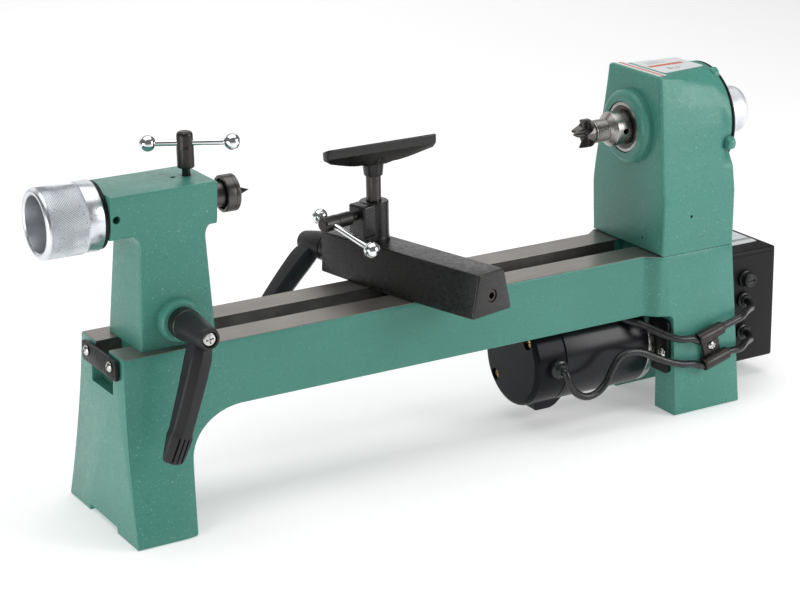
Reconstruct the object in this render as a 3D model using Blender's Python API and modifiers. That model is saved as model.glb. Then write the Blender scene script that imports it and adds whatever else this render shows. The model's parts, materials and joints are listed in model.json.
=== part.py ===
"""Benchtop wood lathe: cast bed on two feet, driven headstock, sliding tailstock and tool rest.

Metres, +Z up.  x runs along the bed from its tail end towards the headstock, y runs across the
bed towards the operator, and z is height above the bench.  LATHE_FRAME moves the whole machine so
that the world origin is on the bench, under the middle of the machine.
"""
import math

import bmesh
import bpy
from mathutils import Matrix, Vector

GAP = 0.0003            # clearance left between pieces that touch

# ---- bed ----
BED_TOP = 0.1402
BED_BOTTOM = 0.0880
BED_HALF = 0.0396
STOP_Z = (0.1228, 0.1382)
STOP_MID = -0.0035      # the stop plate sits a little to the near side
STOP_SCREW = (0.0215, 0.1325)  # each screw's reach from there, and height
RAIL_GAP = 0.0123       # half the slot between the rails
RAIL_UNDER = 0.1220     # underside of the rails
WEB_INNER = 0.0316      # half the hollow between the side webs
BED_END = 0.4689        # where the bed starts to widen under the headstock
SEAT_X = (0.4782, 0.5512)
SEAT_HALF = 0.0496

# ---- feet ----
TAIL_LEAN = 0.0073      # how far the tail end wall leans out at the bench
TAIL_FLARE = 0.0260     # how far the tail foot spreads sideways at the bench
TAIL_FADE = (0.030, 0.100)
HEAD_FOOT_X = (0.4895, 0.5570)
HEAD_FOOT_HALF = 0.0573
HEAD_FOOT_GAP = 0.0286  # half the space between the two columns of the head foot

# ---- spindle line ----
CENTRE_HEIGHT = 0.1016
AXIS_Z = BED_TOP + CENTRE_HEIGHT

# ---- headstock ----
HEAD_TOP = 0.2885
HEAD_TOP_HALF = 0.0362
HEAD_WAIST_Z = 0.1830
HEAD_WAIST_HALF = 0.0512
HEAD_SHOULDER_X = 0.5380
HEAD_SHOULDER_HALF = 0.0225
HEAD_FLANGE_R = 0.0455
HEAD_LEAN = 0.0045
BOSS_FACE_X = 0.4717
BEARING_R = 0.0209
BEARING_WIDTH = 0.0120
SHAFT_R = 0.0098

# ---- motor ----
MOTOR_Y = 0.0050
MOTOR_Z = 0.0565
MOTOR_R = 0.0400
MOTOR_X = (0.3650, 0.3950, 0.4780, 0.4852)   # end face, bell seam, ring seam, ring end
LEAD_D = 0.0062

# ---- control box ----
BOX_LOW = (0.5580, -0.0150, 0.0160)
BOX_HIGH = (0.6273, 0.0620, 0.1170)

# ---- tailstock ----
BARREL_X = (0.0018, 0.0870)
BARREL_Z = (0.2265, 0.2605)
QUILL_R = 0.0115
WHEEL_X = (-0.0465, -0.0013)
WHEEL_R = 0.0269
CUP_R = 0.0143
QUILL_LOCK_X = 0.0750
TAIL_CLAMP = (0.0500, 0.1600)   # x and z of the clamp shaft's axis
TAIL_BOSS_Y = -0.0360
LEVER_LEAN = math.radians(18.2)

# ---- tool rest ----
BANJO_TURN = math.radians(14.0)
POST_AT = (0.2508, 0.0295)      # x and y of the tool-rest post
BANJO_NEAR = -0.1300            # banjo frame: y along the carrier, 0 at the post
BANJO_FAR = 0.0470
BANJO_TOP = 0.1745
BLOCK_TOP = 0.2066
POST_R = 0.0060
CAM_Z = 0.1555
CLAMP_Y = -POST_AT[1] / math.cos(BANJO_TURN)
BANJO_LEVER_TURN = math.radians(47.5)
BANJO_HUB_END = 0.0862
LEVER_TIP_R = 0.0085
REST_BAR_X = -0.0470      # where the tool-rest lock's bar crosses its screw, banjo frame

# ---- world origin: bench level, middle of the machine's box ----
NEAR_Y = POST_AT[1] + BANJO_NEAR * math.cos(BANJO_TURN) - 0.0211 * math.sin(BANJO_TURN)
FAR_Y = POST_AT[1] + BANJO_HUB_END * math.cos(BANJO_TURN) + LEVER_TIP_R * math.sin(BANJO_TURN)
MIDDLE = ((WHEEL_X[0] + BOX_HIGH[0]) / 2, (NEAR_Y + FAR_Y) / 2, 0.0)

ALONG_X = (0.0, math.pi / 2, 0.0)       # turns a piece's own z axis to +x
TOWARDS_NEAR = (math.pi / 2, 0.0, 0.0)  # turns it to -y
TOWARDS_FAR = (-math.pi / 2, 0.0, 0.0)  # turns it to +y


# ------------------------------------------------------------------ helpers
def clear_scene():
    for obj in list(bpy.data.objects):
        bpy.data.objects.remove(obj, do_unlink=True)


def make_collection(name):
    found = bpy.data.collections.new(name)
    bpy.context.scene.collection.children.link(found)
    return found


def make_empty(name, location, turn=0.0, parent=None):
    empty = bpy.data.objects.new(name, None)
    PARTS.objects.link(empty)
    empty.location = location
    empty.rotation_euler = (0.0, 0.0, turn)
    empty.parent = parent
    return empty


def paint(name, colour, roughness, metallic=0.0):
    mat = bpy.data.materials.new(name)
    mat.use_nodes = True
    shader = mat.node_tree.nodes["Principled BSDF"]
    shader.inputs["Base Color"].default_value = (*colour, 1.0)
    shader.inputs["Roughness"].default_value = roughness
    shader.inputs["Metallic"].default_value = metallic
    return mat


def place(name, mesh, mat, at=(0, 0, 0), turn=(0, 0, 0), parent=None):
    obj = bpy.data.objects.new(name, mesh)
    PARTS.objects.link(obj)
    obj.location = at
    obj.rotation_euler = turn
    obj.parent = parent or LATHE_FRAME
    if mat:
        obj.data.materials.append(mat)
    return obj


def as_tool(obj):
    """Turn a piece into a cutter or a lump to join: never built itself."""
    PARTS.objects.unlink(obj)
    CUTTERS.objects.link(obj)
    obj.hide_render = True
    obj.display_type = "WIRE"
    return obj


def boolean(target, tool, operation="DIFFERENCE"):
    mod = target.modifiers.new(operation.lower(), "BOOLEAN")
    mod.operation = operation
    mod.solver = "EXACT"
    mod.object = as_tool(tool)
    return target


def bevel(obj, width, segments=1, angle=30.0):
    mod = obj.modifiers.new("bevel", "BEVEL")
    mod.width = width
    mod.segments = segments
    mod.limit_method = "ANGLE"
    mod.angle_limit = math.radians(angle)
    return obj


def smooth(obj, angle=35.0):
    obj.data.shade_smooth()
    obj.data.set_sharp_from_angle(angle=math.radians(angle))
    return obj


def block(name, low, high, mat=None, **where):
    """A box between two corners of its parent's frame."""
    mesh = bpy.data.meshes.new(name)
    bm = bmesh.new()
    bmesh.ops.create_cube(bm, size=1.0)
    low, high = Vector(low), Vector(high)
    size = high - low
    middle = (low + high) / 2
    for vert in bm.verts:
        vert.co = Vector([vert.co[i] * size[i] + middle[i] for i in range(3)])
    bm.to_mesh(mesh)
    bm.free()
    return place(name, mesh, mat, **where)


def rod(name, radius, start, end, mat=None, sides=20, **where):
    """A cylinder along its own z axis, from start to end."""
    mesh = bpy.data.meshes.new(name)
    bm = bmesh.new()
    bmesh.ops.create_cone(bm, cap_ends=True, segments=sides, radius1=radius, radius2=radius,
                          depth=end - start)
    bmesh.ops.translate(bm, verts=bm.verts, vec=(0, 0, (start + end) / 2))
    bm.to_mesh(mesh)
    bm.free()
    return smooth(place(name, mesh, mat, **where))


def turned(name, outline, mat=None, sides=24, **where):
    """Revolve (height, radius) points about the piece's own z axis.

    The outline is a closed loop, or starts and ends on the axis.
    """
    area = sum(a[1] * b[0] - b[1] * a[0] for a, b in zip(outline, outline[1:] + outline[:1]))
    points = outline if area < 0 else outline[::-1]
    closed = min(p[1] for p in points) > 0
    mesh = bpy.data.meshes.new(name)
    edges = [(i, i + 1) for i in range(len(points) - 1)]
    if closed:
        edges.append((len(points) - 1, 0))
    mesh.from_pydata([(r, 0.0, z) for z, r in points], edges, [])
    obj = place(name, mesh, mat, **where)
    mod = obj.modifiers.new("turn", "SCREW")
    mod.axis = "Z"
    mod.angle = math.tau
    mod.steps = mod.render_steps = sides
    mod.use_merge_vertices = True
    mod.merge_threshold = 0.00001
    mod.use_smooth_shade = True
    return obj


def loft(name, sections, mat=None, **where):
    """Skin a list of sections that all have the same number of points, and cap both ends."""
    mesh = bpy.data.meshes.new(name)
    bm = bmesh.new()
    rings = [[bm.verts.new(p) for p in section] for section in sections]
    count = len(rings[0])
    for near, far in zip(rings, rings[1:]):
        for i in range(count):
            j = (i + 1) % count
            bm.faces.new((near[i], near[j], far[j], far[i]))
    bm.faces.new(rings[0])
    bm.faces.new(rings[-1])
    bmesh.ops.recalc_face_normals(bm, faces=bm.faces)
    bm.to_mesh(mesh)
    bm.free()
    return place(name, mesh, mat, **where)


def plate(name, outline, start, end, mat=None, **where):
    """A flat outline in its own x and y, filled and given a thickness from start to end in z."""
    curve = bpy.data.curves.new(name, "CURVE")
    curve.dimensions = "2D"
    curve.fill_mode = "BOTH"
    curve.extrude = (end - start) / 2
    line = curve.splines.new("POLY")
    line.points.add(len(outline) - 1)
    for point, (x, y) in zip(line.points, outline):
        point.co = (x, y, 0.0, 1.0)
    line.use_cyclic_u = True
    return place(name, meshed(curve, (start + end) / 2), mat, **where)


def meshed(curve, lift=0.0):
    """The closed mesh of a curve, its caps welded, lifted along its own z axis."""
    holder = bpy.data.objects.new(curve.name, curve)
    PARTS.objects.link(holder)
    depsgraph = bpy.context.evaluated_depsgraph_get()
    mesh = bpy.data.meshes.new_from_object(holder.evaluated_get(depsgraph))
    bm = bmesh.new()
    bm.from_mesh(mesh)
    bmesh.ops.remove_doubles(bm, verts=bm.verts, dist=0.00001)
    bmesh.ops.translate(bm, verts=bm.verts, vec=(0, 0, lift))
    bm.to_mesh(mesh)
    bm.free()
    bpy.data.objects.remove(holder)
    bpy.data.curves.remove(curve)
    return mesh


def arc(centre, radius, start, end, steps):
    """Points on a circle, from one angle to another, in degrees."""
    angles = [math.radians(start + (end - start) * i / steps) for i in range(steps + 1)]
    return [(centre[0] + radius * math.cos(a), centre[1] + radius * math.sin(a)) for a in angles]


def blend(a, b, t):
    return a + (b - a) * t


def ramp(value, start, end):
    """0 before start, 1 after end, eased between."""
    t = min(max((value - start) / (end - start), 0.0), 1.0)
    return t * t * (3 - 2 * t)


# ------------------------------------------------------------------ bed
def tail_side(x, z):
    """Half width of the tail foot and bed at a place along and up."""
    drop = max(1 - z / BED_TOP, 0.0) ** 1.6
    return BED_HALF + TAIL_FLARE * drop * (1 - ramp(x, *TAIL_FADE))


def bed_section(x, bottom, half_at, lean=0.0):
    """One cross-section of the bed casting, from the near bottom edge round to the far one."""
    levels = 7
    heights = [blend(bottom, BED_TOP, i / levels) for i in range(levels + 1)]
    near = [(x - lean * (1 - z / BED_TOP), -half_at(x, z), z) for z in heights]
    far = [(px, -py, pz) for px, py, pz in reversed(near)]
    return near + far


def bed_outer_sections():
    sections = [bed_section(0.0, 0.0, tail_side, TAIL_LEAN)]
    for x in (0.020, 0.036, 0.0422):
        sections.append(bed_section(x, 0.0, tail_side))
    # inboard edge of the tail foot, then the big fillet under the bed
    for x, bottom in ((0.0440, 0.015), (0.0458, 0.034), (0.0472, 0.050)):
        sections.append(bed_section(x, bottom, tail_side))
    fillet = 0.036
    for degrees in (8, 20, 34, 50, 68, 90):
        a = math.radians(degrees)
        x = 0.0476 + fillet * (1 - math.cos(a)) * 1.3
        sections.append(bed_section(x, BED_BOTTOM - fillet * (1 - math.sin(a)), tail_side))
    sections.append(bed_section(BED_END, BED_BOTTOM, lambda x, z: BED_HALF))
    sections.append(bed_section(SEAT_X[0], BED_BOTTOM, lambda x, z: SEAT_HALF))

    def head_side(x, z):
        return blend(HEAD_FOOT_HALF, SEAT_HALF, z / BED_TOP)

    sections.append(bed_section(HEAD_FOOT_X[0] - 0.0050, BED_BOTTOM, head_side))
    sections.append(bed_section(HEAD_FOOT_X[0] - 0.0015, BED_BOTTOM - 0.0015, head_side))
    sections.append(bed_section(HEAD_FOOT_X[0], BED_BOTTOM - 0.0050, head_side))
    sections.append(bed_section(HEAD_FOOT_X[0] + 0.0002, 0.0, head_side))
    lean = SEAT_X[1] - HEAD_FOOT_X[1]
    sections.append(bed_section(SEAT_X[1], 0.0, head_side, lean))
    return sections


def make_bed():
    bed = loft("bed_casting", bed_outer_sections(), GREEN)
    # hollow under the rails, open below
    boolean(bed, block("bed_hollow", (0.0080, -WEB_INNER, -0.010), (0.4880, WEB_INNER, RAIL_UNDER)))
    # inside of the tail foot, open inboard and below
    foot = [[(0.0015, -0.0570, -0.001), (0.110, -0.0570, -0.001),
             (0.110, 0.0570, -0.001), (0.0015, 0.0570, -0.001)],
            [(0.0075, -0.0320, 0.085), (0.110, -0.0320, 0.085),
             (0.110, 0.0320, 0.085), (0.0075, 0.0320, 0.085)]]
    boolean(bed, loft("tail_foot_hollow", foot))
    # slot between the rails and its wider mouth through the end wall
    boolean(bed, block("rail_slot", (-0.020, -RAIL_GAP, 0.110), (0.4740, RAIL_GAP, 0.160)))
    boolean(bed, block("end_mouth", (-0.020, -0.0197, 0.1075), (0.012, 0.0197, 0.1215)))
    boolean(bed, block("end_notch", (-0.020, -0.0260, -0.010), (0.012, 0.0260, 0.0045)))
    # space between the head foot's columns, and the belt's way down through the seat
    boolean(bed, block("foot_gap", (0.4800, -HEAD_FOOT_GAP, -0.010), (0.570, HEAD_FOOT_GAP, BED_BOTTOM)))
    boolean(bed, block("belt_way", (0.5150, -0.0275, 0.080), (0.5460, 0.0275, 0.150)))
    # each column is cored out from below
    for side in (-1, 1):
        low, high = sorted((side * 0.0360, side * 0.0490))
        boolean(bed, block(f"column_core_{side}", (0.4970, low, -0.010), (0.5480, high, 0.080)))
    for side in (-1, 1):
        boolean(bed, rod(f"stop_screw_hole_{side}", 0.0022, -0.012, 0.012, at=stop_screw_at(side),
                         turn=ALONG_X, sides=12))
    smooth(bed, 25)
    return bed


def stop_screw_at(side):
    return (0, STOP_MID + side * STOP_SCREW[0], STOP_SCREW[1])


def make_stop_plate():
    outline = [(-0.0310, STOP_Z[0]), (0.0320, STOP_Z[0]), (0.0320, STOP_Z[1] - 0.0025), (0.0295, STOP_Z[1]),
               (-0.0285, STOP_Z[1]), (-0.0310, STOP_Z[1] - 0.0025)]
    stop = plate("bed_stop_plate", outline, -0.0049, -0.0019, BLACK,
                 turn=(math.pi / 2, 0, math.pi / 2), at=(0, STOP_MID, 0))
    for side in (-1, 1):
        boolean(stop, rod(f"stop_hole_{side}", 0.0024, -0.010, 0.010, at=stop_screw_at(side), turn=ALONG_X,
                          sides=12))
    for side, name in ((-1, "stop_screw_near"), (1, "stop_screw_far")):
        dome = [(-0.0052, 0.0), (-0.0052, 0.0041), (-0.0064, 0.0038), (-0.0074, 0.0026), (-0.0078, 0.0)]
        shank = [(0.0090, 0.0), (0.0090, 0.0019), (-0.0052, 0.0019)]
        screw = turned(name, shank + dome[1:], STEEL, sides=16, at=stop_screw_at(side), turn=ALONG_X)
        boolean(screw, hexagon(f"{name}_socket", 0.0013, -0.0090, -0.0060, at=stop_screw_at(side),
                               turn=ALONG_X))
    return stop


def hexagon(name, radius, start, end, mat=None, **where):
    return rod(name, radius, start, end, mat, sides=6, **where)


# ------------------------------------------------------------------ headstock
def head_side(z):
    """Half width of the headstock's inboard end above its waist."""
    return blend(HEAD_WAIST_HALF, HEAD_TOP_HALF, (z - HEAD_WAIST_Z) / (HEAD_TOP - HEAD_WAIST_Z))


def flange_point(degrees):
    angle = math.radians(degrees)
    return (HEAD_FLANGE_R * math.cos(angle), AXIS_Z + HEAD_FLANGE_R * math.sin(angle))


def head_outlines():
    """Half sections: tapered inboard end, shoulder where the top narrows, round outboard flange."""
    foot = BED_TOP + GAP
    inboard = [(0.0498, foot), (0.0506, 0.160), (HEAD_WAIST_HALF, HEAD_WAIST_Z)]
    inboard += [(head_side(z), z) for z in (0.2150, 0.2360, 0.2540, 0.2700)] + [(HEAD_TOP_HALF, HEAD_TOP)]
    flange = [(0.0500, foot), (0.0507, 0.160), (0.0512, 0.1880)]
    flange += [flange_point(a) for a in (-27, -6, 16, 38, 63)]
    shoulder = [(blend(a[0], b[0], 0.7), blend(a[1], b[1], 0.7)) for a, b in zip(inboard, flange)]
    shoulder[-1] = (HEAD_SHOULDER_HALF, HEAD_TOP)
    shoulder[-2] = (0.0372, 0.2730)
    return ((SEAT_X[0], inboard, HEAD_TOP), (HEAD_SHOULDER_X, shoulder, HEAD_TOP),
            (SEAT_X[1], flange, AXIS_Z + HEAD_FLANGE_R))


def head_sections():
    sections = []
    for x, half, crown in head_outlines():
        ring = [(-y, z) for y, z in half] + [(0.0, crown)] + half[::-1]
        lean = HEAD_LEAN if x == SEAT_X[0] else 0.0
        sections.append([(x + lean * ramp(z, 0.185, HEAD_TOP), y, z) for y, z in ring])
    return sections


def make_headstock():
    head = loft("headstock_casting", head_sections(), GREEN)
    bevel(head, 0.0035, 2, 40)
    boss = [(-0.0150, 0.0), (-0.0150, 0.0310), (0.0112, 0.0310), (0.0142, 0.0296),
            (0.0158, 0.0270), (0.0158, 0.0)]
    boss_x = BOSS_FACE_X + 0.0158
    boolean(head, rod("belt_chamber", 0.0375, 0.5140, 0.5600, at=(0, 0, AXIS_Z), turn=ALONG_X, sides=32))
    boolean(head, block("belt_fall", (0.5140, -0.0330, 0.130), (0.5460, 0.0330, AXIS_Z)))
    boolean(head, turned("head_boss", [(-z, r) for z, r in boss], at=(boss_x, 0, AXIS_Z), turn=ALONG_X,
                         sides=32), "UNION")
    for angle, reach in ((118.0, 0.0440), (-162.0, 0.0475)):
        y = reach * math.cos(math.radians(angle))
        z = AXIS_Z + reach * math.sin(math.radians(angle))
        boolean(head, rod(f"cover_lug_{angle:.0f}", 0.0058, 0.5445, SEAT_X[1] - 0.0001, at=(0, y, z),
                          turn=ALONG_X, sides=16), "UNION")
    # bearing seats, the bore between them and the belt chamber behind
    bore = [(0.460, 0.0), (0.460, 0.0212), (0.4852, 0.0212), (0.4852, 0.0150), (0.4995, 0.0150),
            (0.4995, 0.0212), (0.530, 0.0212), (0.530, 0.0)]
    boolean(head, turned("spindle_bore", bore, at=(0, 0, AXIS_Z), turn=ALONG_X, sides=32))
    return smooth(head, 30)


def make_bearing(name, x, sides):
    w = BEARING_WIDTH
    ring = [(0, BEARING_R), (w, BEARING_R), (w, 0.0185), (w - 0.0012, 0.0180), (w - 0.0012, 0.0138),
            (w, 0.0133), (w, SHAFT_R + GAP), (0, SHAFT_R + GAP), (0, 0.0133), (0.0012, 0.0138),
            (0.0012, 0.0180), (0, 0.0185)]
    return turned(name, ring, STEEL, sides=sides, at=(x, 0, AXIS_Z), turn=ALONG_X)


def make_spindle():
    nose = 0.4413
    outline = [(nose, 0.0068), (nose, 0.0088), (nose + 0.0010, 0.0095), (0.4535, 0.0095),
               (0.4550, 0.0102), (0.4610, 0.0142), (0.4625, 0.0145), (0.4715, 0.0145),
               (0.4718, SHAFT_R), (0.5590, SHAFT_R), (0.5590, 0.0080), (0.5860, 0.0080),
               (0.5860, 0.0048), (0.4950, 0.0048), (0.4950, 0.0060)]
    spindle = turned("spindle", outline, STEEL, sides=28, at=(0, 0, AXIS_Z), turn=ALONG_X)
    boolean(spindle, rod("collar_hole", 0.0023, 0.0100, 0.020, at=(0.4675, 0, AXIS_Z),
                         turn=TOWARDS_NEAR, sides=16))
    return spindle


def make_spur_centre():
    """Four chisel edges round a point, on a tapered shank."""
    mesh = bpy.data.meshes.new("spur_centre")
    bm = bmesh.new()
    rings = ((0.0, 0.4222, 0.0), (0.0026, 0.4268, 0.0), (0.0034, 0.4330, 0.0), (0.0118, 0.4285, 0.0052),
             (0.0118, 0.4380, 0.0), (0.0104, 0.4402, 0.0), (0.0064, 0.4410, 0.0), (0.0055, 0.4900, 0.0),
             (0.0, 0.4900, 0.0))
    sides = 24
    loops = []
    for radius, x, fall in rings:
        if radius == 0.0:
            loops.append([bm.verts.new((x, 0, AXIS_Z))])
            continue
        loop = []
        for i in range(sides):
            a = math.tau * i / sides
            back = fall * abs(math.sin(2 * a)) ** 0.8
            loop.append(bm.verts.new((x + back, radius * math.cos(a), AXIS_Z + radius * math.sin(a))))
        loops.append(loop)
    for near, far in zip(loops, loops[1:]):
        for i in range(sides):
            j = (i + 1) % sides
            if len(near) == 1:
                bm.faces.new((near[0], far[i], far[j]))
            elif len(far) == 1:
                bm.faces.new((near[i], near[j], far[0]))
            else:
                bm.faces.new((near[i], near[j], far[j], far[i]))
    bmesh.ops.recalc_face_normals(bm, faces=bm.faces)
    bm.to_mesh(mesh)
    bm.free()
    return smooth(place("spur_centre", mesh, DARK_STEEL), 25)


def pulley_outline(start, radii, step, bore):
    """Stepped pulley: one flat groove with flanges for each radius."""
    outer = [(start, radii[0] + 0.0015)]
    for i, radius in enumerate(radii):
        x = start + i * step
        outer += [(x + 0.0010, radius + 0.0015), (x + 0.0018, radius), (x + step - 0.0010, radius)]
    end = start + len(radii) * step
    outer += [(end - 0.0006, radii[-1] + 0.0015), (end, radii[-1] + 0.0015)]
    return outer + [(end, bore), (start, bore)]


def make_drive():
    """Pulleys, belt and the spindle's outboard handwheel."""
    step, start = 0.0130, 0.5170
    turned("spindle_pulley", pulley_outline(start, (0.0300, 0.0220), step, SHAFT_R + GAP), ALUMINIUM,
           sides=24, at=(0, 0, AXIS_Z), turn=ALONG_X)
    turned("motor_pulley", pulley_outline(start, (0.0160, 0.0212), step, 0.0043), ALUMINIUM,
           sides=20, at=(0, MOTOR_Y, MOTOR_Z), turn=ALONG_X)
    centres = ((0.0, AXIS_Z, 0.0308), (MOTOR_Y, MOTOR_Z, 0.0168))
    belt_x = (start + 0.0026, start + step - 0.0020)
    belt_thickness = 0.0014

    def around(extra):
        top = arc(centres[0][:2], centres[0][2] + extra, -4, 184, 16)
        bottom = arc(centres[1][:2], centres[1][2] + extra, 184, 356, 12)
        return top + bottom

    belt = plate("drive_belt", around(belt_thickness), belt_x[0], belt_x[1], RUBBER,
                 turn=(math.pi / 2, 0, math.pi / 2))
    boolean(belt, plate("belt_inside", around(0.0), belt_x[0] - 0.01, belt_x[1] + 0.01,
                        turn=(math.pi / 2, 0, math.pi / 2)))
    wheel = [(0.5562, 0.0150), (0.5562, 0.0172), (0.5590, 0.0200), (0.5866, 0.0200), (0.5886, 0.0190),
             (0.5894, 0.0172), (0.5894, 0.0150), (0.5800, 0.0140), (0.5800, 0.0083), (0.5596, 0.0083),
             (0.5596, 0.0105), (0.5562, 0.0112)]
    turned("spindle_handwheel", wheel, ALUMINIUM, sides=28, at=(0, 0, AXIS_Z), turn=ALONG_X)


def make_belt_cover():
    cover = [(0.5515, 0.0130), (0.5515, 0.0462), (0.5528, 0.0462), (0.5542, 0.0448), (0.5542, 0.0130)]
    return turned("belt_cover", cover, BLACK, sides=40, at=(0, 0, AXIS_Z), turn=ALONG_X)


# ------------------------------------------------------------------ motor
def motor_turned(name, outline, mat, sides=40):
    return turned(name, outline, mat, sides=sides, at=(0, MOTOR_Y, MOTOR_Z), turn=ALONG_X)


def make_motor():
    end, seam, ring, face = MOTOR_X
    bell = motor_turned("motor_end_bell", [
        (end, 0.0), (end, 0.0365), (end + 0.0012, 0.0390), (end + 0.0035, MOTOR_R), (seam - GAP, MOTOR_R),
        (seam - GAP, 0.0360), (end + 0.006, 0.0360), (end + 0.006, 0.0)], BLACK, 36)
    foot = plate("bell_foot", arc((0.3890, 0.0), 0.0055, 90, 270, 8) + [(0.4090, -0.0040), (0.4100, 0.0055)],
                 0.0085, 0.0190, at=(0, MOTOR_Y, 0))
    boolean(foot, block("foot_clear", (seam - GAP, -0.020, MOTOR_Z - MOTOR_R - GAP), (0.430, 0.020, 0.030)))
    boolean(bell, foot, "UNION")
    for side, name in ((-1, "tie_bolt_near"), (1, "tie_bolt_far")):
        y, z = MOTOR_Y + side * 0.0245, MOTOR_Z - side * 0.0205
        boolean(bell, rod(f"{name}_well", 0.0050, end - 0.002, end + 0.010, at=(0, y, z), turn=ALONG_X,
                          sides=20))
        turned(name, [(end + 0.0025, 0.0), (end + 0.0025, 0.0040), (end + 0.0058, 0.0040),
                      (end + 0.0058, 0.0018), (end + 0.0280, 0.0018), (end + 0.0280, 0.0)], BRASS,
               sides=16, at=(0, y, z), turn=ALONG_X)
    motor_turned("motor_housing", [(seam, 0.0355), (seam, MOTOR_R), (ring - GAP, MOTOR_R),
                                   (ring - GAP, 0.0355)], BLACK, 36)
    motor_turned("motor_front_ring", [(ring, 0.0355), (ring, 0.0396), (face - 0.0010, 0.0396), (face, 0.0386),
                                      (face, 0.0085), (face - 0.0040, 0.0085), (face - 0.0040, 0.0355)],
                 STEEL, 36)
    motor_turned("motor_shaft", [(0.3750, 0.0), (0.3750, 0.0040), (0.4020, 0.0040), (0.4020, 0.0290),
                                 (0.4620, 0.0290), (0.4620, 0.0060), (0.4900, 0.0060), (0.4900, 0.0040),
                                 (0.5440, 0.0040), (0.5440, 0.0)], STEEL, 16)
    outline = [(-0.0500, 0.0360), (0.0500, 0.0360), (0.0500, 0.0790), (0.0460, 0.0825), (-0.0460, 0.0825),
               (-0.0500, 0.0790)]
    bracket = plate("motor_plate", outline, face + GAP, HEAD_FOOT_X[0] - GAP, BLACK,
                    turn=(math.pi / 2, 0, math.pi / 2))
    boolean(bracket, rod("shaft_way", 0.0120, 0.480, 0.500, at=(0, MOTOR_Y, MOTOR_Z), turn=ALONG_X, sides=24))
    at = (0, -0.0440, 0.0540)
    boolean(bracket, rod("plate_screw_hole", 0.0026, 0.480, 0.500, at=at, turn=ALONG_X, sides=12))
    turned("motor_plate_screw", [(0.4820, 0.0), (0.4820, 0.0034), (0.4836, 0.0044), (0.4852, 0.0044),
                                 (0.4852, 0.0023), (0.4890, 0.0023), (0.4890, 0.0)], STEEL, sides=16,
           at=at, turn=ALONG_X)


# ------------------------------------------------------------------ leads and electrics
MOTOR_GLAND_AT = (0.3850, MOTOR_Y - MOTOR_R + 0.0015, 0.0570)
SENSOR_GLAND_AT = (0.3840, MOTOR_Y, MOTOR_Z + MOTOR_R + 0.0006)
BOX_GLAND_X = 0.5930
UPPER_GLAND_Z = 0.0735
LOWER_GLAND_Z = 0.0445
CLIP_AT = (0.5250, -0.0567, 0.0570)
CLIP_TURN = math.radians(-15.0)
CLIP_SPAN = 0.0122      # from the clip's middle to each lead
LEAD_OFF = 0.0039       # from the clip's back to a lead's axis

# Routes chosen by hand: gland, loop under the motor, clip on the foot, round to the box.
MOTOR_LEAD_ROUTE = [
    (0.3850, -0.0443, 0.0570), (0.3850, -0.0458, 0.0569), (0.3856, -0.0478, 0.0540),
    (0.3868, -0.0495, 0.0480), (0.3920, -0.0510, 0.0392),
    (0.4020, -0.0520, 0.0337), (0.4129, -0.0520, 0.0350), (0.4218, -0.0520, 0.0418), (0.4288, -0.0520, 0.0537),
    (0.4356, -0.0520, 0.0618), (0.4454, -0.0525, 0.0646), (0.4559, -0.0535, 0.0629), (0.4686, -0.0560, 0.0568),
    (0.4820, -0.0590, 0.0506), (0.4944, -0.0606, 0.0468), (0.5050, -0.0606, 0.0450)]
SENSOR_LEAD_ROUTE = [
    (0.3950, MOTOR_Y, 0.1024), (0.4080, 0.0040, 0.1022), (0.4220, -0.0020, 0.1015), (0.4340, -0.0110, 0.0985),
    (0.4430, -0.0195, 0.0925), (0.4515, -0.0258, 0.0872), (0.4590, -0.0315, 0.0833), (0.4662, -0.0385, 0.0812),
    (0.4708, -0.0450, 0.0788), (0.4802, -0.0530, 0.0734), (0.4919, -0.0588, 0.0688), (0.5040, -0.0606, 0.0675)]


def clip_point(along, across):
    """A point on a lead's axis in the clip: along the lead, and across to the upper or lower one."""
    c, s = math.cos(-CLIP_TURN), math.sin(-CLIP_TURN)
    return (CLIP_AT[0] + along * c - across * s, CLIP_AT[1] - LEAD_OFF, CLIP_AT[2] + along * s + across * c)


def to_box_gland(z, climb):
    """Route from the clip round the foot's edge, dipping before it turns up into a gland on the box."""
    return [(0.5560, -0.0590, z + climb), (0.5660, -0.0525, z + climb + 0.0006),
            (0.5760, -0.0445, z + climb * 0.7), (0.5850, -0.0360, z - 0.0006), (0.5903, -0.0300, z - 0.0024),
            (BOX_GLAND_X - 0.0005, -0.0256, z - 0.0012),
            (BOX_GLAND_X, -0.0230, z), (BOX_GLAND_X, -0.0215, z)]


def smooth_route(points, spacing):
    """Points about a spacing apart on a centripetal Catmull-Rom curve through the given ones."""
    pts = [Vector(p) for p in points]
    pts = [pts[0] * 2 - pts[1]] + pts + [pts[-1] * 2 - pts[-2]]
    route = []
    for p0, p1, p2, p3 in zip(pts, pts[1:], pts[2:], pts[3:]):
        t1 = (p1 - p0).length ** 0.5
        t2 = t1 + (p2 - p1).length ** 0.5
        t3 = t2 + (p3 - p2).length ** 0.5
        steps = max(1, round((p2 - p1).length / spacing))
        for i in range(steps):
            t = blend(t1, t2, i / steps)
            a1 = p0 * ((t1 - t) / t1) + p1 * (t / t1)
            a2 = p1 * ((t2 - t) / (t2 - t1)) + p2 * ((t - t1) / (t2 - t1))
            a3 = p2 * ((t3 - t) / (t3 - t2)) + p3 * ((t - t2) / (t3 - t2))
            b1 = a1 * ((t2 - t) / t2) + a2 * (t / t2)
            b2 = a2 * ((t3 - t) / (t3 - t1)) + a3 * ((t - t1) / (t3 - t1))
            route.append(b1 * ((t2 - t) / (t2 - t1)) + b2 * ((t - t1) / (t2 - t1)))
    return route + [pts[-2]]


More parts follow.
